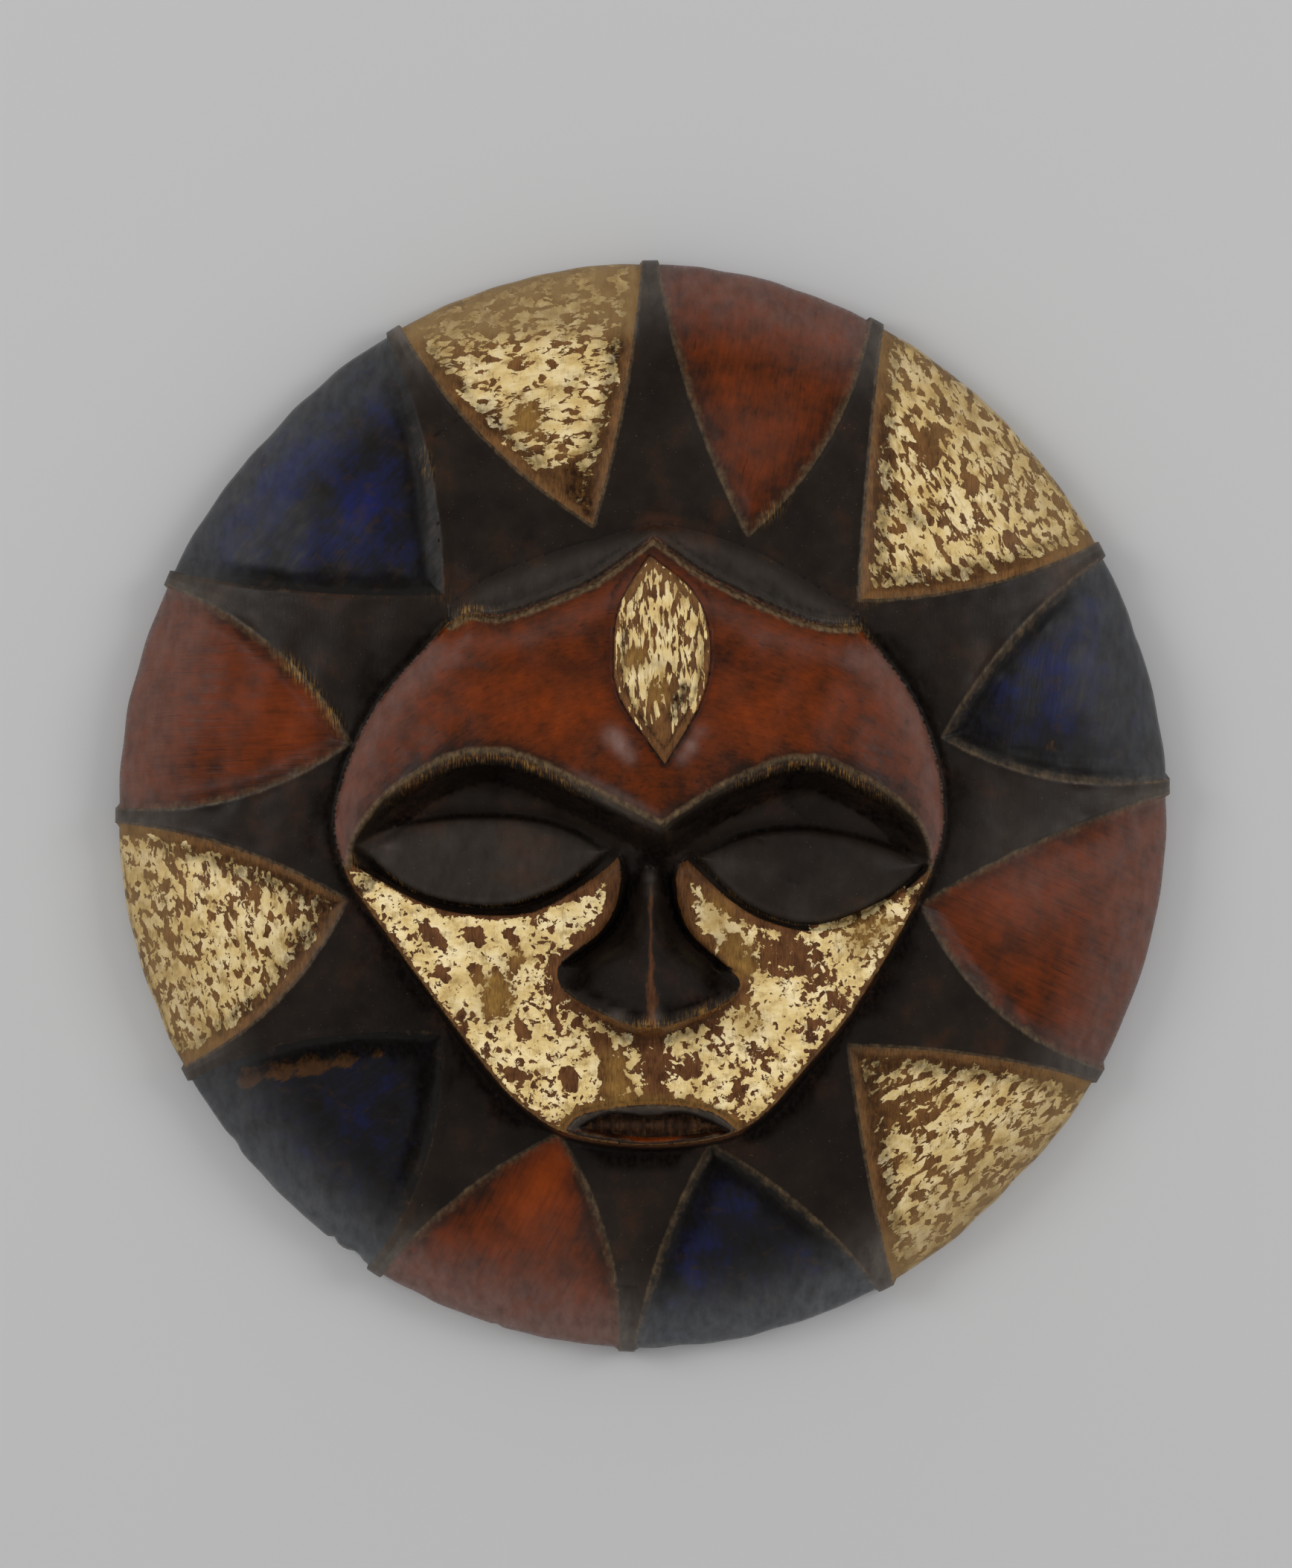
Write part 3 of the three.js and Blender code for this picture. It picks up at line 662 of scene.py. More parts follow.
def roughness(corners, height, rounds):  # how far each point stands over its neighbours, in millimetres
    ends = np.concatenate([corners[:, [0, 1]], corners[:, [1, 2]], corners[:, [2, 0]]])
    calm = height[:, 2].copy()
    weight = 1 / np.maximum(((height[ends[:, 0]] - height[ends[:, 1]]) ** 2).sum(1), 0.05)
    total = np.bincount(ends[:, 0], weight, len(calm)) + np.bincount(ends[:, 1], weight, len(calm))
    for _ in range(rounds):
        pull = np.bincount(ends[:, 0], weight * calm[ends[:, 1]], len(calm))
        pull += np.bincount(ends[:, 1], weight * calm[ends[:, 0]], len(calm))
        calm = pull / total
    return height[:, 2] - calm


black, red, blue, cream, wood = range(5)  # the order of the materials on the mesh
panelPaints = np.array([{"cream": cream, "red": red, "blue": blue}[panel[0]] for panel in panels])


def paintOf(corners, at):  # which paint each triangle carries
    names = ("face", "cheek", "nose", "almond", "lips", "mouth", "lens", "x", "y")
    middle = {name: at[name][corners].mean(1) for name in names}
    best = np.argmax(at["panelGap"][corners], axis=1)
    panel = at["panel"][corners[np.arange(len(corners)), best]]
    inPanel = at["panelGap"][corners].mean(1) > 0
    paint = np.where(inPanel, panelPaints[panel], black)
    inFace = middle["face"] > 0
    above = at["above"][corners].mean(1) > 0.5
    paint[middle["face"] > -1.4] = black
    paint[inFace & above] = red
    paint[(middle["cheek"] > 0) & inFace & ~above] = cream
    underLens = (middle["lens"] < 0) & (middle["lens"] > -7) & (middle["y"] < -26)
    paint[underLens & (middle["x"] > 60) & (middle["x"] < 94) & inFace] = cream
    paint[(middle["nose"] > 0) & (middle["face"] > 2)] = black
    paint[middle["almond"] > 0] = cream
    paint[middle["lips"] > 0] = black
    paint[(middle["lips"] > 0) & (middle["mouth"] < 0) & (middle["y"] < -114)] = red
    paint[middle["mouth"] > 0] = wood
    return paint, panel


def strokeCoords(corners, paint, panel, at):  # brush direction as coordinates for the paint patterns
    x, y = at["x"][corners], at["y"][corners]
    stroke = np.stack([x, y, np.zeros_like(x)], 2)

    def turned(chosen, degrees, alongShare, acrossShare=1):
        turn = math.radians(degrees)
        along = x[chosen] * math.cos(turn) + y[chosen] * math.sin(turn)
        across = y[chosen] * math.cos(turn) - x[chosen] * math.sin(turn)
        stroke[chosen, :, 0], stroke[chosen, :, 1] = along * alongShare, across * acrossShare

    inPanel = at["panelGap"][corners].mean(1) > 0
    onFace = at["face"][corners].mean(1) > -1.5
    for index, (_, _, _, _, degrees, squeeze) in enumerate(panels):
        turned(inPanel & (panel == index) & ~onFace, degrees, squeeze)
    arcs = onFace & (paint == red)
    stroke[arcs, :, 0] = np.arctan2(x[arcs] - 7, y[arcs] + 80) * 110
    stroke[arcs, :, 1] = np.hypot(x[arcs] - 7, y[arcs] + 80)
    turned(at["almond"][corners].mean(1) > 0, 92, 0.35, 1.5)
    return stroke.reshape(-1, 3) * mm


def addAttribute(mesh, name, values, domain="POINT"):
    vector = np.ndim(values) > 1
    layer = mesh.attributes.new(name, "FLOAT_VECTOR" if vector else "FLOAT", domain)
    layer.data.foreach_set("vector" if vector else "value", np.asarray(values, np.float32).ravel())


def edgeOf(gap, reach):  # 1 on an edge, falling to 0 at its reach
    return 1 - smooth(0.2, reach, gap)


def creamCoverOf(at, uneven):  # bare around the cheeks, along the panels and between the almond's lines
    x, y = at["x"], at["y"]
    lobe = bell(x, 4, 30, 4) * smooth(-66, -50, y)
    bare = edgeOf(at["cheek"], 1 + 7 * lobe + 3.5 * smooth(20, 30, x) * smooth(58, 50, x) + uneven)
    bare *= 1 - 0.9 * smooth(54, 62, x) * smooth(96, 88, x)
    bare = np.maximum(bare, edgeOf(at["face"], 1.3))
    bare = np.maximum(bare, 0.8 * edgeOf(-at["nose"], 6 + 2 * uneven))
    bare = np.maximum(bare, edgeOf(-at["lips"], 4 + uneven))
    onCheek = 0.055 - 0.5 * bare - 0.035 * edgeOf(at["face"] - 4, 16) - 0.05 * edgeOf(at["face"] - 1, 5)
    onAlmond = 0.005 + 0.14 * bell(at["almond"], 3.6, 0.5) - 0.24 * edgeOf(at["almond"], 4.2)
    onAlmond += 0.2 * bell(at["almond"], 0.7, 0.5)
    onPanel = -0.01 - 0.45 * edgeOf(at["panelGap"] - 1, 4.5 + 1.6 * uneven)
    cover = np.where(at["almond"] > -0.5, onAlmond, np.where(at["inFace"], onCheek, onPanel))
    return cover + spotted(at, creamSpots)


def redCoverOf(at, uneven):  # thinner under the hairline, over the brow and along the panels
    edge = np.minimum(np.where(at["toHairline"] >= 0, at["toHairline"], 99), at["brow"])
    onFace = -0.2 * edgeOf(edge, 6 + 1.5 * uneven) - 0.05 * edgeOf(at["brow"], 20)
    onPanel = -0.17 * edgeOf(at["panelGap"], 7 + 2.5 * uneven) - 0.04 * smooth(0.86, 1, at["share"])
    cover = np.where(at["inFace"], onFace, onPanel) + spotted(at, redSpots)
    return np.where(np.abs(at["face"]) < 2, 0.12, cover)


def blueCoverOf(at, uneven):  # thinner along the panels and towards the rim
    edges = 0.2 * edgeOf(at["panelGap"], 9 + 2 * uneven) + 0.05 * smooth(0.86, 0.97, at["share"])
    return spotted(at, blueSpots) - edges


def coverOf(at):  # how much more or less paint there is than usual
    uneven = unevenness(at["x"], at["y"], 11, 7)
    covers = {cream: creamCoverOf(at, uneven), red: redCoverOf(at, uneven), blue: blueCoverOf(at, uneven)}
    cover = np.select([at["code"] == code for code in covers], list(covers.values()))
    onFace = np.where(at["above"] > 0.5, covers[red], covers[cream])
    onLips = np.where(at["y"] < -114, 0.4 * bell(at["x"], 4.5, 9, 4) - 0.22, 0.05)
    cover = np.where(at["lips"] > 0.8, onLips, np.where(at["inFace"], onFace, cover))
    return np.where(at["almond"] > -0.5, covers[cream], cover)


def smearOf(at):  # thin brown and ochre: down the keel, under the brow, on the cream and at the edges
    smear = spotted(at, smears) + 0.75 * at["keel"] + 0.55 * at["browBand"] + 0.14 * (at["almond"] > 0)
    smear += 0.22 * ((at["code"] == cream) & (at["panelGap"] > 0) & ~at["inFace"])
    smear += 0.7 * bell(at["lips"], -1.6, 1.6) * (at["lips"] < 0)
    return smear + 0.75 * bell(at["face"], -0.1, 0.7) * np.where(at["above"] > 0.5, 0.7, at["y"] < -14)


def frayOf(at):  # torn fibres: at carved lines, under the brow and at the foot of the lenses
    lensFoot = bell(at["lens"], 0.1, 0.45) * smooth(-16, -24, at["y"]) * smooth(62, 52, at["x"])
    torn = spotted(at, frays) * np.where(at["almond"] > 0, 1, at["nearLine"])
    return torn + 0.75 * at["browBand"] + 0.6 * lensFoot


def wearOf(at):  # rubbed crests: of the panels' edges, the brow and the hairline
    x = at["x"]
    faint = np.isin(at["panel"], faintPanels)
    crest = 0.4 * bell(at["panelGap"], -0.5, 0.7) + 0.6 * bell(at["panelGap"], 0.9, np.where(faint, 1.1, 2.1))
    crest *= ~at["inFace"] * (at["hair"] < 0) * np.where(faint, 0.5, 1)
    browCrest = bell(at["brow"], 0, 1.5) * (np.abs(x) < 104) * np.where(x > 30, 0.85, 1)
    hairCrest = bell(at["toHairline"], 1.6, 1.5, 4) * at["inFace"]
    wear = 0.5 * clampShare(at["proud"] / 0.25 - 0.2) * at["nearLine"] * (at["nose"] < 4)
    return wear + 0.7 * crest + 0.8 * browCrest + hairCrest + 0.2 * at["browBand"]


def shadeAndGrimeOf(at):  # painted shade and dirt: darker in hollows and valleys, on the nose, over the lenses and around the face
    x, y = at["x"], at["y"]
    onRed = (at["code"] == red) & (at["panelGap"] > 0)
    shadeAndGrime = clampShare(-at["proud"] / 0.3 - 0.1) * np.where(onRed, 0.2, 0.7)
    shadeAndGrime += 0.6 * bell(at["toHairline"], -0.4, 0.8) * ~at["inFace"]
    shadeAndGrime += (0.45 * (1 - at["keel"]) + 0.5 * nostrilPits(x, y, 4)) * (at["nose"] > 0)
    shadeAndGrime += 0.4 * (hump(x, y, -9, -25, 6) + hump(x, y, 19, -27, 7)) * (at["cheek"] > 0)
    shadeAndGrime += 0.75 * at["underBrow"] * smooth(3, 9, at["brow"]) * (at["lens"] < 0) + spotted(at, smudges)
    shadeAndGrime += 0.4 * bell(at["lens"], -1.2, 1.4) * (at["lens"] < 0.2) * smooth(-24, -16, y)
    shadeAndGrime += 0.38 * hump(x, y, -98, -92, 42) * ~at["inFace"]
    shadeAndGrime += 0.6 * bell(at["face"], -2.6, 1.3) * (at["toHairline"] > 3) + 0.4 * (at["mouth"] > 0)
    shadeAndGrime += 0.4 * bell(at["face"], 0, 18) * (at["face"] < 0) * (y < 60) * np.where(onRed, 0.1, 1)
    shadeAndGrime += 0.35 * bell(at["face"], 0.8, 0.5) * (y < -14)
    temple = edgeOf(at["face"] + 0.2, 3) * (at["above"] > 0.5) * (at["toHairline"] > 4)
    return shadeAndGrime + 0.2 * temple * at["inFace"]


def paintedSheenOf(at):  # painted sheen and highlights: on the lenses, hair and rim, beside the ornament, lips and temples
    x, y = at["x"], at["y"]
    paintedSheen = np.where(x > 5, 0.05, 0.15) * smooth(-0.3, 1.5, at["lens"])
    paintedSheen += 0.12 * bell(at["lens"], 1.8, 1.3) * smooth(-20, -28, y)
    paintedSheen += 0.15 * smooth(0, 6, at["toHairTop"]) * (at["hair"] > -0.5) + spotted(at, paintedHighlights)
    paintedSheen += np.where(at["code"] == blue, 0.3, 0.44) * smooth(0.82, 0.98, at["share"]) * ~at["inFace"]
    paintedSheen += 0.42 * smooth(162, 170, y) * smooth(1, -3, x)
    paintedSheen += 0.25 * smooth(0.88, 1, at["share"]) * smooth(-90, -150, y)
    paintedSheen += 0.3 * bell(at["brow"], 2, 1.6) * bell(x, -8, 16, 4) * at["inFace"]
    paintedSheen += 0.2 * bell(at["lips"], 1.6, 1.1) * (at["mouth"] < 0) * (y > -114.5)
    temple = edgeOf(at["face"] - 1.5, 15) * smooth(4, 14, at["toHairline"]) * (at["above"] > 0.5)
    return paintedSheen + 0.5 * temple * at["inFace"]


farOutside = -999.0  # stands for every distance on the back
faintPanels = (8, 11)  # the two blue panels on the left have fainter crests


def surveyAll(at, index, count, corners, places):  # the survey for all points, and where age and painted shade show
    full = {}
    for name, value in at.items():
        if name not in ("lenses", "spots", "onFace", "onBrow", "onNose"):
            full[name] = np.full(count, 0 if name == "panel" else farOutside)
            full[name][index] = value
    x, y = full["x"], full["y"]
    full["inFace"] = full["face"] > 0
    full["code"] = panelPaints[full["panel"]]
    wide = 0.9 + 1.8 * smooth(-52, -72, y) + 0.35 * unevenness(x, y, 9, 11)
    keel = bell(x - 0.4 * unevenness(x, y, 14, 12), 4.3, wide)
    full["keel"] = keel * smooth(-84, -79, y) * smooth(-26, -30, y) * (full["nose"] > 0)
    full["underBrow"] = (full["above"] < 0.5) & (full["brow"] < 12) & full["inFace"]
    wings = bell(x, -50, 31, 4) + 0.9 * bell(x, 60, 24, 4)
    full["browBand"] = bell(full["brow"], 2.6, 1.7) * full["underBrow"] * wings
    lines = [full[name] for name in ("panelGap", "toHairline", "face", "lips", "nose", "cheek")]
    full["nearLine"] = bell(np.abs(lines).min(0), 0, 2.5)
    full["proud"] = roughness(corners, places, 5)
    return full


def paintMask(mesh, at, index, corners, places):  # index: the front and rim points, in the survey's order
    full = surveyAll(at, index, len(mesh.vertices), corners, places)
    paint, panel = paintOf(corners, full)
    paint[~np.isin(corners, index).all(1)] = wood
    mesh.polygons.foreach_set("material_index", paint.astype(np.int32))
    addAttribute(mesh, "stroke", strokeCoords(corners, paint, panel, full), "CORNER")
    addAttribute(mesh, "cover", coverOf(full))
    ageAndLightMasks = {"smear": smearOf, "fray": frayOf, "wear": wearOf, "shadeAndGrime": shadeAndGrimeOf, "paintedSheen": paintedSheenOf}
    for name, maskOf in ageAndLightMasks.items():
        addAttribute(mesh, name, clampShare(maskOf(full)))
    print("painted", len(paint), "triangles")


def linear(code):  # a colour as a screen shows it becomes light
    shown = [int(code[i:i + 2], 16) / 255 for i in (1, 3, 5)]
    light = [part / 12.92 if part <= 0.04045 else ((part + 0.055) / 1.055) ** 2.4 for part in shown]
    return (*light, 1)


# adds a node with its settings; the inputs are values or links, in the order of its sockets
def addNode(tree, kind, *inputs, output=None, stops=None, **settings):
    node = tree.nodes.new("ShaderNode" + kind)
    for name, value in settings.items():
        setattr(node, name, value)
    if stops:
        elements = node.color_ramp.elements
        while len(elements) < len(stops):
            elements.new(0.5)
        for element, (position, code) in zip(elements, stops):
            element.position, element.color = position, linear(code)
    sockets = [socket for socket in node.inputs if socket.enabled]
    for socket, value in zip(sockets, inputs):
        if isinstance(value, bpy.types.NodeSocket):
            tree.links.new(value, socket)
        elif value is not None:
            socket.default_value = linear(value) if isinstance(value, str) else value
    ready = [socket for socket in node.outputs if socket.enabled]
    return next(socket for socket in ready if output in (None, socket.name))


# noise with spots of these millimetres along x, y and z, or of one size all ways
def pattern(tree, place, size, detail=3.0, wander=0.0):
    sizes = (size,) * 3 if np.isscalar(size) else size
    sized = addNode(tree, "Mapping", place, None, None, tuple(1 / part / mm for part in sizes))
    return addNode(tree, "TexNoise", sized, 1.0, detail, 0.6, 2.0, wander)


def newMaterial(name):
    material = bpy.data.materials.new(name)
    material.use_nodes = True
    tree = material.node_tree
    return material, tree, tree.nodes["Principled BSDF"]


# what age and painted light do to every paint: sizes in millimetres, and the colours of what comes through or
# settles, of the painted shade and of the painted sheen
ageAndPaintedLight = {
    "patch": 4, "fleck": (1.6, 3, 3), "woodDark": "#2e251b", "woodPale": "#725d42",
    "fibre": (0.45, 5, 5), "golden": "#a87b38", "shadeAndDirtSpot": (1.6, 2.4, 2.4), "shadeAndDirt": "#0b0807",
    "cloud": (4, 8, 8), "sheenTone": "#675f58", "gloss": (0.11, 0.02),
}


# olive wood rubbed bare on crests, golden torn fibres, painted shade and dirt in corners and hollows, and a
# pale painted sheen at the rim with painted highlights
def agedWithPaintedLight(tree, place, colour, shadeAndDirtTone=ageAndPaintedLight["shadeAndDirt"], paintedSheenTone=ageAndPaintedLight["sheenTone"]):
    spread = pattern(tree, place, ageAndPaintedLight["patch"], 4)
    wear = addNode(tree, "Attribute", attribute_name="wear", output="Fac")
    level = addNode(tree, "Math", spread, 0.75, wear, operation="MULTIPLY_ADD")
    rubbed = addNode(tree, "MapRange", level, 0.66, 1.25, 0, 0.9)
    flecks = addNode(tree, "MapRange", pattern(tree, place, ageAndPaintedLight["fleck"], 4), 0.3, 0.62)
    oldWood = addNode(tree, "Mix", flecks, ageAndPaintedLight["woodDark"], ageAndPaintedLight["woodPale"], data_type="RGBA")
    colour = addNode(tree, "Mix", rubbed, colour, oldWood, data_type="RGBA")
    fibres = pattern(tree, place, ageAndPaintedLight["fibre"], 2)
    fray = addNode(tree, "Attribute", attribute_name="fray", output="Fac")
    patchy = addNode(tree, "MapRange", spread, 0.4, 0.6, 0.45, 1.3)
    fray = addNode(tree, "Math", fray, patchy, operation="MULTIPLY")
    golden = addNode(tree, "Math", addNode(tree, "MapRange", fibres, 0.5, 0.6), fray, operation="MULTIPLY")
    colour = addNode(tree, "Mix", golden, colour, ageAndPaintedLight["golden"], data_type="RGBA")
    # painted shade and dirt: a dark tone mixed into the hollows and corners
    shadeAndGrime = addNode(tree, "Attribute", attribute_name="shadeAndGrime", output="Fac")
    patchyShadeAndDirt = addNode(tree, "MapRange", pattern(tree, place, ageAndPaintedLight["shadeAndDirtSpot"], 4), 0.3, 0.6, 0.35, 1)
    shadeAndDirt = addNode(tree, "Math", shadeAndGrime, patchyShadeAndDirt, operation="MULTIPLY")
    colour = addNode(tree, "Mix", shadeAndDirt, colour, shadeAndDirtTone, data_type="RGBA")
    # painted sheen and highlights: a pale tone mixed in where the wax would reflect light
    cloudy = addNode(tree, "MapRange", pattern(tree, place, ageAndPaintedLight["cloud"], 5), 0.3, 0.7, 0.65, 1.35)
    paintedSheen = addNode(tree, "Attribute", attribute_name="paintedSheen", output="Fac")
    share = addNode(tree, "Math", paintedSheen, cloudy, operation="MULTIPLY")
    return addNode(tree, "Mix", share, colour, paintedSheenTone, data_type="RGBA")


def finish(tree, shader, colour, rough, height, depth):  # satin from wax, and matt where the painted shade and dirt lie
    tree.links.new(colour, shader.inputs["Base Color"])
    if isinstance(rough, bpy.types.NodeSocket):
        tree.links.new(rough, shader.inputs["Roughness"])
    else:
        shader.inputs["Roughness"].default_value = rough
    shadeAndGrime = addNode(tree, "Attribute", attribute_name="shadeAndGrime", output="Fac")
    gloss = addNode(tree, "MapRange", shadeAndGrime, 0.3, 1, *ageAndPaintedLight["gloss"])
    tree.links.new(gloss, shader.inputs["Specular IOR Level"])
    bump = addNode(tree, "Bump", 1.0, depth * mm, None, height)
    tree.links.new(bump, shader.inputs["Normal"])


# in each paint, "relief" is the depth of its marks in millimetres and "rough" its range of roughness
blackPaint = {
    "cloud": 22, "tones": [(0.35, "#19120d"), (0.55, "#231b15"), (0.72, "#382216")],
    "streak": (1.2, 5, 5), "underWood": "#6c4124", "dust": 0.7, "dustTone": "#8a7a60",
    "sheen": 6, "rough": (0.28, 0.42), "brush": (0.9, 5, 5), "relief": 0.04,
}


def waxedBlackPaint():  # thin black-brown paint rubbed with wax: deep and satin, brown where it wears thin
    material, tree, shader = newMaterial("waxedBlackPaint")
    place = addNode(tree, "TexCoord", output="Object")
    cloud = pattern(tree, place, blackPaint["cloud"], 4)
    colour = addNode(tree, "ValToRGB", cloud, stops=blackPaint["tones"])
    smear = addNode(tree, "Attribute", attribute_name="smear", output="Fac")
    streaks = pattern(tree, place, blackPaint["streak"], 4)
    thin = addNode(tree, "MapRange", addNode(tree, "Math", streaks, smear, operation="ADD"), 0.8, 1.5)
    colour = addNode(tree, "Mix", thin, colour, blackPaint["underWood"], data_type="RGBA")
    dust = addNode(tree, "MapRange", pattern(tree, place, blackPaint["dust"], 1), 0.74, 0.79, 0, 0.3)
    colour = addNode(tree, "Mix", dust, colour, blackPaint["dustTone"], data_type="RGBA")
    colour = agedWithPaintedLight(tree, place, colour)
    sheen = pattern(tree, place, blackPaint["sheen"])
    rough = addNode(tree, "MapRange", sheen, 0.3, 0.7, *blackPaint["rough"])
    brush = pattern(tree, place, blackPaint["brush"], 4)
    finish(tree, shader, colour, rough, brush, blackPaint["relief"])
    return material


# the red's pale tone is its painted sheen and highlights
redPaint = {
    "tones": [(0.2, "#221107"), (0.36, "#371807"), (0.48, "#522206"), (0.64, "#682905"), (0.85, "#803405")],
    "cloud": 9, "cloudShare": 0.68, "brush": (3.5, 1.5, 1.5), "scratch": (3, 0.6, 0.6),
    "dab": (4.5, 1.4, 1.4), "markTone": "#220f07", "sheenTone": "#7b6058", "rough": (0.3, 0.45), "relief": 0.12,
}


def brushedRedPaint():  # red earth paint, brushed out thin: dark marks and scratches, brown towards the edges
    material, tree, shader = newMaterial("brushedRedPaint")
    place = addNode(tree, "TexCoord", output="Object")
    stroke = addNode(tree, "Attribute", attribute_name="stroke", output="Vector")
    cover = addNode(tree, "Attribute", attribute_name="cover", output="Fac")
    brush = pattern(tree, stroke, redPaint["brush"], 5)
    cloud = pattern(tree, place, redPaint["cloud"], 5)
    tone = addNode(tree, "Mix", redPaint["cloudShare"], brush, cloud, data_type="FLOAT")
    level = addNode(tree, "Math", tone, cover, operation="ADD")
    colour = addNode(tree, "ValToRGB", level, stops=redPaint["tones"])
    scratches = addNode(tree, "MapRange", pattern(tree, stroke, redPaint["scratch"], 3), 0.61, 0.69, 0, 0.5)
    dabs = addNode(tree, "MapRange", pattern(tree, stroke, redPaint["dab"], 4), 0.62, 0.68, 0, 0.65)
    marks = addNode(tree, "Math", scratches, dabs, operation="MAXIMUM")
    fewer = addNode(tree, "MapRange", cover, 0, 0.16, 1, 0.3)  # the thicker the paint, the fainter its marks
    marks = addNode(tree, "Math", marks, fewer, operation="MULTIPLY")
    colour = addNode(tree, "Mix", marks, colour, redPaint["markTone"], data_type="RGBA")
    colour = agedWithPaintedLight(tree, place, colour, paintedSheenTone=redPaint["sheenTone"])
    rough = addNode(tree, "MapRange", brush, 0.35, 0.65, *redPaint["rough"])
    finish(tree, shader, colour, rough, brush, redPaint["relief"])
    return material


# the blue's pale tone is its painted sheen and highlights
bluePaint = {
    "tones": [(0.4, "#161310"), (0.54, "#17161d"), (0.68, "#171a38"), (0.9, "#161a58")],
    "cloud": 11, "brush": (5, 2, 2), "brushShare": 0.3, "brownPatch": (9, 7, 7), "brownTone": "#2c2019",
    "scrape": (6, 2.5, 2.5), "ochreSpot": 5, "ochre": ("#34210f", "#57371a"), "sheenTone": "#636568",
    "rough": (0.28, 0.42), "relief": 0.08,
}


def mottledBluePaint():  # deep blue in soft clouds over black, satin from wax, with scraped ochre underneath
    material, tree, shader = newMaterial("mottledBluePaint")
    place = addNode(tree, "TexCoord", output="Object")
    stroke = addNode(tree, "Attribute", attribute_name="stroke", output="Vector")
    cover = addNode(tree, "Attribute", attribute_name="cover", output="Fac")
    cloud = pattern(tree, place, bluePaint["cloud"], 5)
    brush = pattern(tree, stroke, bluePaint["brush"], 4)
    tone = addNode(tree, "Mix", bluePaint["brushShare"], cloud, brush, data_type="FLOAT")
    level = addNode(tree, "Math", tone, cover, operation="ADD")
    colour = addNode(tree, "ValToRGB", level, stops=bluePaint["tones"])
    patches = pattern(tree, place, bluePaint["brownPatch"], 4, 0.5)
    brown = addNode(tree, "MapRange", patches, 0.56, 0.68, 0, 0.7)
    colour = addNode(tree, "Mix", brown, colour, bluePaint["brownTone"], data_type="RGBA")
    smear = addNode(tree, "Attribute", attribute_name="smear", output="Fac")
    scrapes = pattern(tree, stroke, bluePaint["scrape"], 5)
    ragged = addNode(tree, "Math", scrapes, 0.8, smear, operation="MULTIPLY_ADD")
    spots = pattern(tree, place, bluePaint["ochreSpot"], 4)
    ochre = addNode(tree, "Mix", spots, *bluePaint["ochre"], data_type="RGBA")
    scraped = addNode(tree, "MapRange", ragged, 0.86, 0.98)
    colour = addNode(tree, "Mix", scraped, colour, ochre, data_type="RGBA")
    colour = agedWithPaintedLight(tree, place, colour, paintedSheenTone=bluePaint["sheenTone"])
    rough = addNode(tree, "MapRange", brush, 0.3, 0.7, *bluePaint["rough"])
    finish(tree, shader, colour, rough, brush, bluePaint["relief"])
    return material


# the cream's dark tone is its painted shade and dirt, its pale tone its painted sheen and highlights
creamPaint = {
    "island": 2.9, "bend": 3, "cell": 1.8, "cellShare": 0.34, "drift": 22, "driftShare": 0.12,
    "edge": (0.678, 0.69), "grain": (0.5, 3.5, 3.5), "stain": (5, 7, 7), "ground": ("#432613", "#744b2a"),
    "ochre": ("#664720", "#9c763a"), "thin": 8, "worn": 4, "rubbed": "#9c7d49", "streak": (4, 0.9, 0.9),
    "tones": [(0.32, "#ceae6f"), (0.46, "#ebcf8f"), (0.62, "#fbe6b4")], "shadeAndDirt": "#2a1b12", "sheenTone": "#8a6f48",
    "rough": (0.45, 0.55), "relief": 0.09,
}


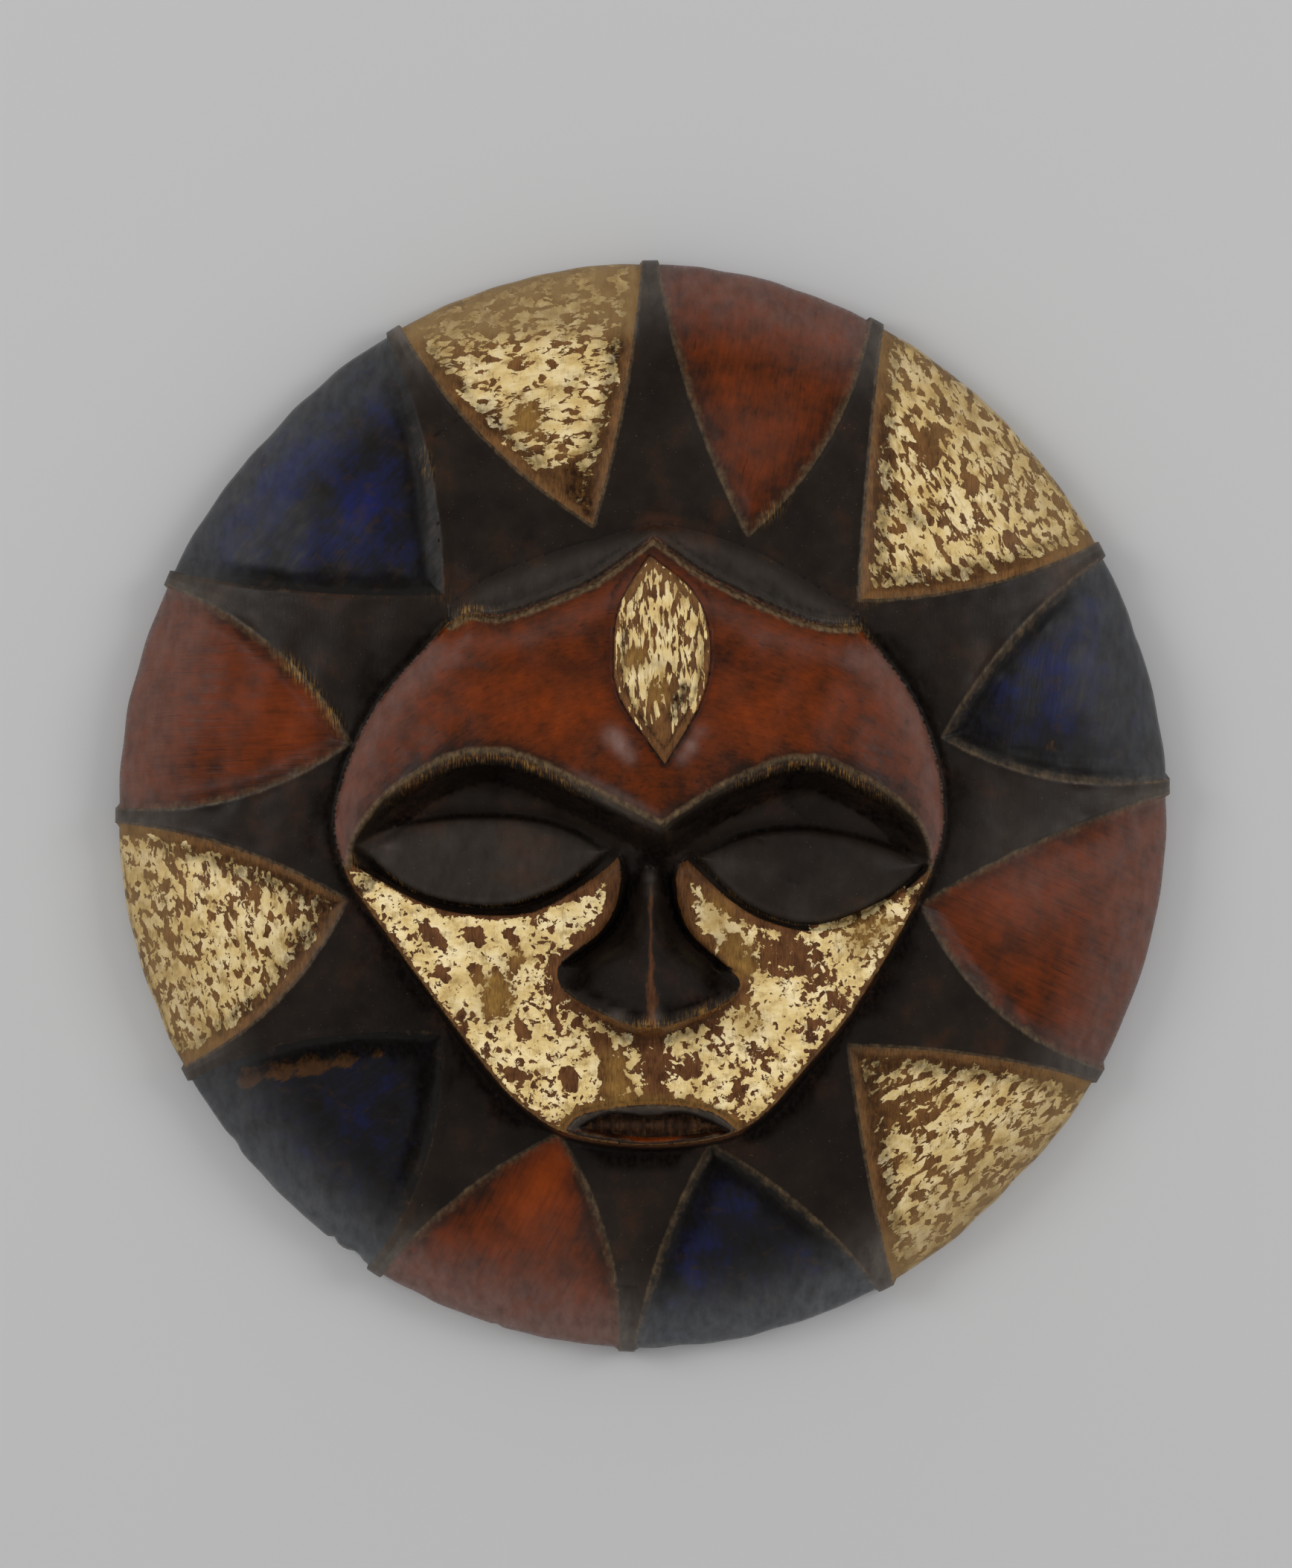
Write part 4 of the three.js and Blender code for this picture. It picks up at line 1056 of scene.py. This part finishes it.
def flakedCreamPaint():  # thick cream paint flaked off brown wood: sharp angular islands with a thin edge
    material, tree, shader = newMaterial("flakedCreamPaint")
    place = addNode(tree, "TexCoord", output="Object")
    stroke = addNode(tree, "Attribute", attribute_name="stroke", output="Vector")
    cover = addNode(tree, "Attribute", attribute_name="cover", output="Fac")
    islands = pattern(tree, stroke, creamPaint["island"], 4, 0.5)
    bend = addNode(tree, "TexNoise", stroke, 1 / creamPaint["bend"] / mm, 2.0, 0.6, 2.0, 0.0, output="Color")
    bent = addNode(tree, "VectorMath", bend, (mm, mm, mm), stroke, operation="MULTIPLY_ADD")
    cells = addNode(tree, "TexVoronoi", bent, 1 / creamPaint["cell"] / mm, output="Color")
    drift = pattern(tree, place, creamPaint["drift"], 2)
    level = addNode(tree, "Math", islands, cover, operation="ADD")
    level = addNode(tree, "Math", cells, creamPaint["cellShare"], level, operation="MULTIPLY_ADD")
    level = addNode(tree, "Math", drift, creamPaint["driftShare"], level, operation="MULTIPLY_ADD")
    paint = addNode(tree, "MapRange", level, *creamPaint["edge"])
    grain = pattern(tree, place, creamPaint["grain"], 4)
    stains = pattern(tree, place, creamPaint["stain"], 5)
    stained = addNode(tree, "Mix", 0.5, stains, grain, data_type="FLOAT")
    stained = addNode(tree, "MapRange", stained, 0.38, 0.62)
    ground = addNode(tree, "Mix", stained, *creamPaint["ground"], data_type="RGBA")
    smear = addNode(tree, "Attribute", attribute_name="smear", output="Fac")
    ochre = addNode(tree, "Mix", stained, *creamPaint["ochre"], data_type="RGBA")
    ground = addNode(tree, "Mix", smear, ground, ochre, data_type="RGBA")
    tone = addNode(tree, "ValToRGB", pattern(tree, place, creamPaint["thin"], 5), stops=creamPaint["tones"])
    patches = pattern(tree, stroke, creamPaint["worn"], 5)
    worn = addNode(tree, "Math", grain, 0.35, patches, operation="MULTIPLY_ADD")
    worn = addNode(tree, "MapRange", worn, 0.69, 0.85, 0, 0.7)
    worn = addNode(tree, "Math", smear, 0.9, worn, operation="MULTIPLY_ADD")
    tone = addNode(tree, "Mix", worn, tone, creamPaint["rubbed"], data_type="RGBA")
    streaks = addNode(tree, "MapRange", pattern(tree, stroke, creamPaint["streak"], 3), 0.5, 0.68, 0, 0.22)
    tone = addNode(tree, "Mix", streaks, tone, creamPaint["rubbed"], data_type="RGBA")
    colour = addNode(tree, "Mix", paint, ground, tone, data_type="RGBA")
    colour = agedWithPaintedLight(tree, place, colour, creamPaint["shadeAndDirt"], creamPaint["sheenTone"])
    rough = addNode(tree, "MapRange", paint, 0, 1, *creamPaint["rough"])
    height = addNode(tree, "Math", grain, 0.25, paint, operation="MULTIPLY_ADD")
    finish(tree, shader, colour, rough, height, creamPaint["relief"])
    return material


bareWood = {
    "grain": (1.6, 45, 1.6), "tones": [(0.35, "#2f1d10"), (0.5, "#4a3120"), (0.68, "#6a4a2b")],
    "stain": 30, "stainTone": "#22150c", "knife": 9, "rough": 0.62, "relief": 0.35,
}


# unpainted wood of the back and the mouth: brown with age, grain running down, knife marks
def agedBareWood():
    material, tree, shader = newMaterial("agedBareWood")
    place = addNode(tree, "TexCoord", output="Object")
    grain = pattern(tree, place, bareWood["grain"], 5)
    colour = addNode(tree, "ValToRGB", grain, stops=bareWood["tones"])
    stain = addNode(tree, "MapRange", pattern(tree, place, bareWood["stain"]), 0.4, 0.7, 0, 0.5)
    colour = addNode(tree, "Mix", stain, colour, bareWood["stainTone"], data_type="RGBA")
    colour = agedWithPaintedLight(tree, place, colour)
    marks = addNode(tree, "Math", grain, pattern(tree, place, bareWood["knife"], 2), operation="ADD")
    finish(tree, shader, colour, bareWood["rough"], marks, bareWood["relief"])
    return material


makeCamera()
bm, side = makeSheet()
refine(bm, side, sheet["bands"][0], True)
refine(bm, side, sheet["bands"][1], False)
snapToLines(bm, side)
frontVerts, at = carve(bm, side)
bmesh.ops.triangulate(bm, faces=bm.faces[:], quad_method="SHORT_EDGE")
bmesh.ops.recalc_face_normals(bm, faces=bm.faces[:])
bm.verts.index_update()
frontIndex = np.array([vert.index for vert in frontVerts])
mesh = bpy.data.meshes.new("carvedMask")
bm.to_mesh(mesh)
bm.free()
for makeFinish in (waxedBlackPaint, brushedRedPaint, mottledBluePaint, flakedCreamPaint, agedBareWood):
    mesh.materials.append(makeFinish())
corners = np.zeros(len(mesh.loops), np.int32)
mesh.loops.foreach_get("vertex_index", corners)
places = np.zeros(len(mesh.vertices) * 3, np.float32)
mesh.vertices.foreach_get("co", places)
paintMask(mesh, at, frontIndex, corners.reshape(-1, 3), places.reshape(-1, 3).astype(float))
mesh.vertices.foreach_set("co", places * mm)
mesh.update()
mesh.shade_smooth()
mask = bpy.data.objects.new("carvedMask", mesh)
bpy.context.scene.collection.objects.link(mask)
print("triangles", len(mesh.polygons))
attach(mask, "root")
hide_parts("mask")

# a pale floor and two large lamps in a wide, soft tent of light, a little dimmer straight above; the
# lamps stand to the left and right of the mask
studio = {
    "floor": "#c4c4c4", "floorRough": 0.9, "lamp": 13, "lampSize": 0.9, "lampPlace": (1.6, 0.5, 1.5),
    "tent": 0.86, "tentTones": [(0, "#f4f4f4"), (0.5, "#dcdcdc"), (1, "#bcbcbc")],
}


def makeStudio():
    bm = bmesh.new()
    bmesh.ops.create_grid(bm, x_segments=1, y_segments=1, size=4)
    mesh = bpy.data.meshes.new("floor")
    bm.to_mesh(mesh)
    bm.free()
    floor = bpy.data.objects.new("floor", mesh)
    bpy.context.scene.collection.objects.link(floor)
    material, tree, shader = newMaterial("palePaperFloor")
    shader.inputs["Base Color"].default_value = linear(studio["floor"])
    shader.inputs["Roughness"].default_value = studio["floorRough"]
    mesh.materials.append(material)

    for side in (-1, 1):
        data = bpy.data.lights.new("softBox", "AREA")
        data.size, data.energy = studio["lampSize"], studio["lamp"]
        light = bpy.data.objects.new("softBox", data)
        light.location = studio["lampPlace"]
        light.location.x *= side
        light.rotation_euler = light.location.to_track_quat("Z", "Y").to_euler()
        bpy.context.scene.collection.objects.link(light)

    world = bpy.data.worlds.new("softTent")
    bpy.context.scene.world = world
    world.use_nodes = True
    tree = world.node_tree
    direction = addNode(tree, "TexCoord", output="Generated")
    up = addNode(tree, "SeparateXYZ", direction, output="Z")
    colour = addNode(tree, "ValToRGB", up, stops=studio["tentTones"])
    tree.links.new(colour, tree.nodes["Background"].inputs["Color"])
    tree.nodes["Background"].inputs["Strength"].default_value = studio["tent"]


makeStudio()
print("floor and light made")
bpy.context.scene.view_settings.view_transform = "Standard"
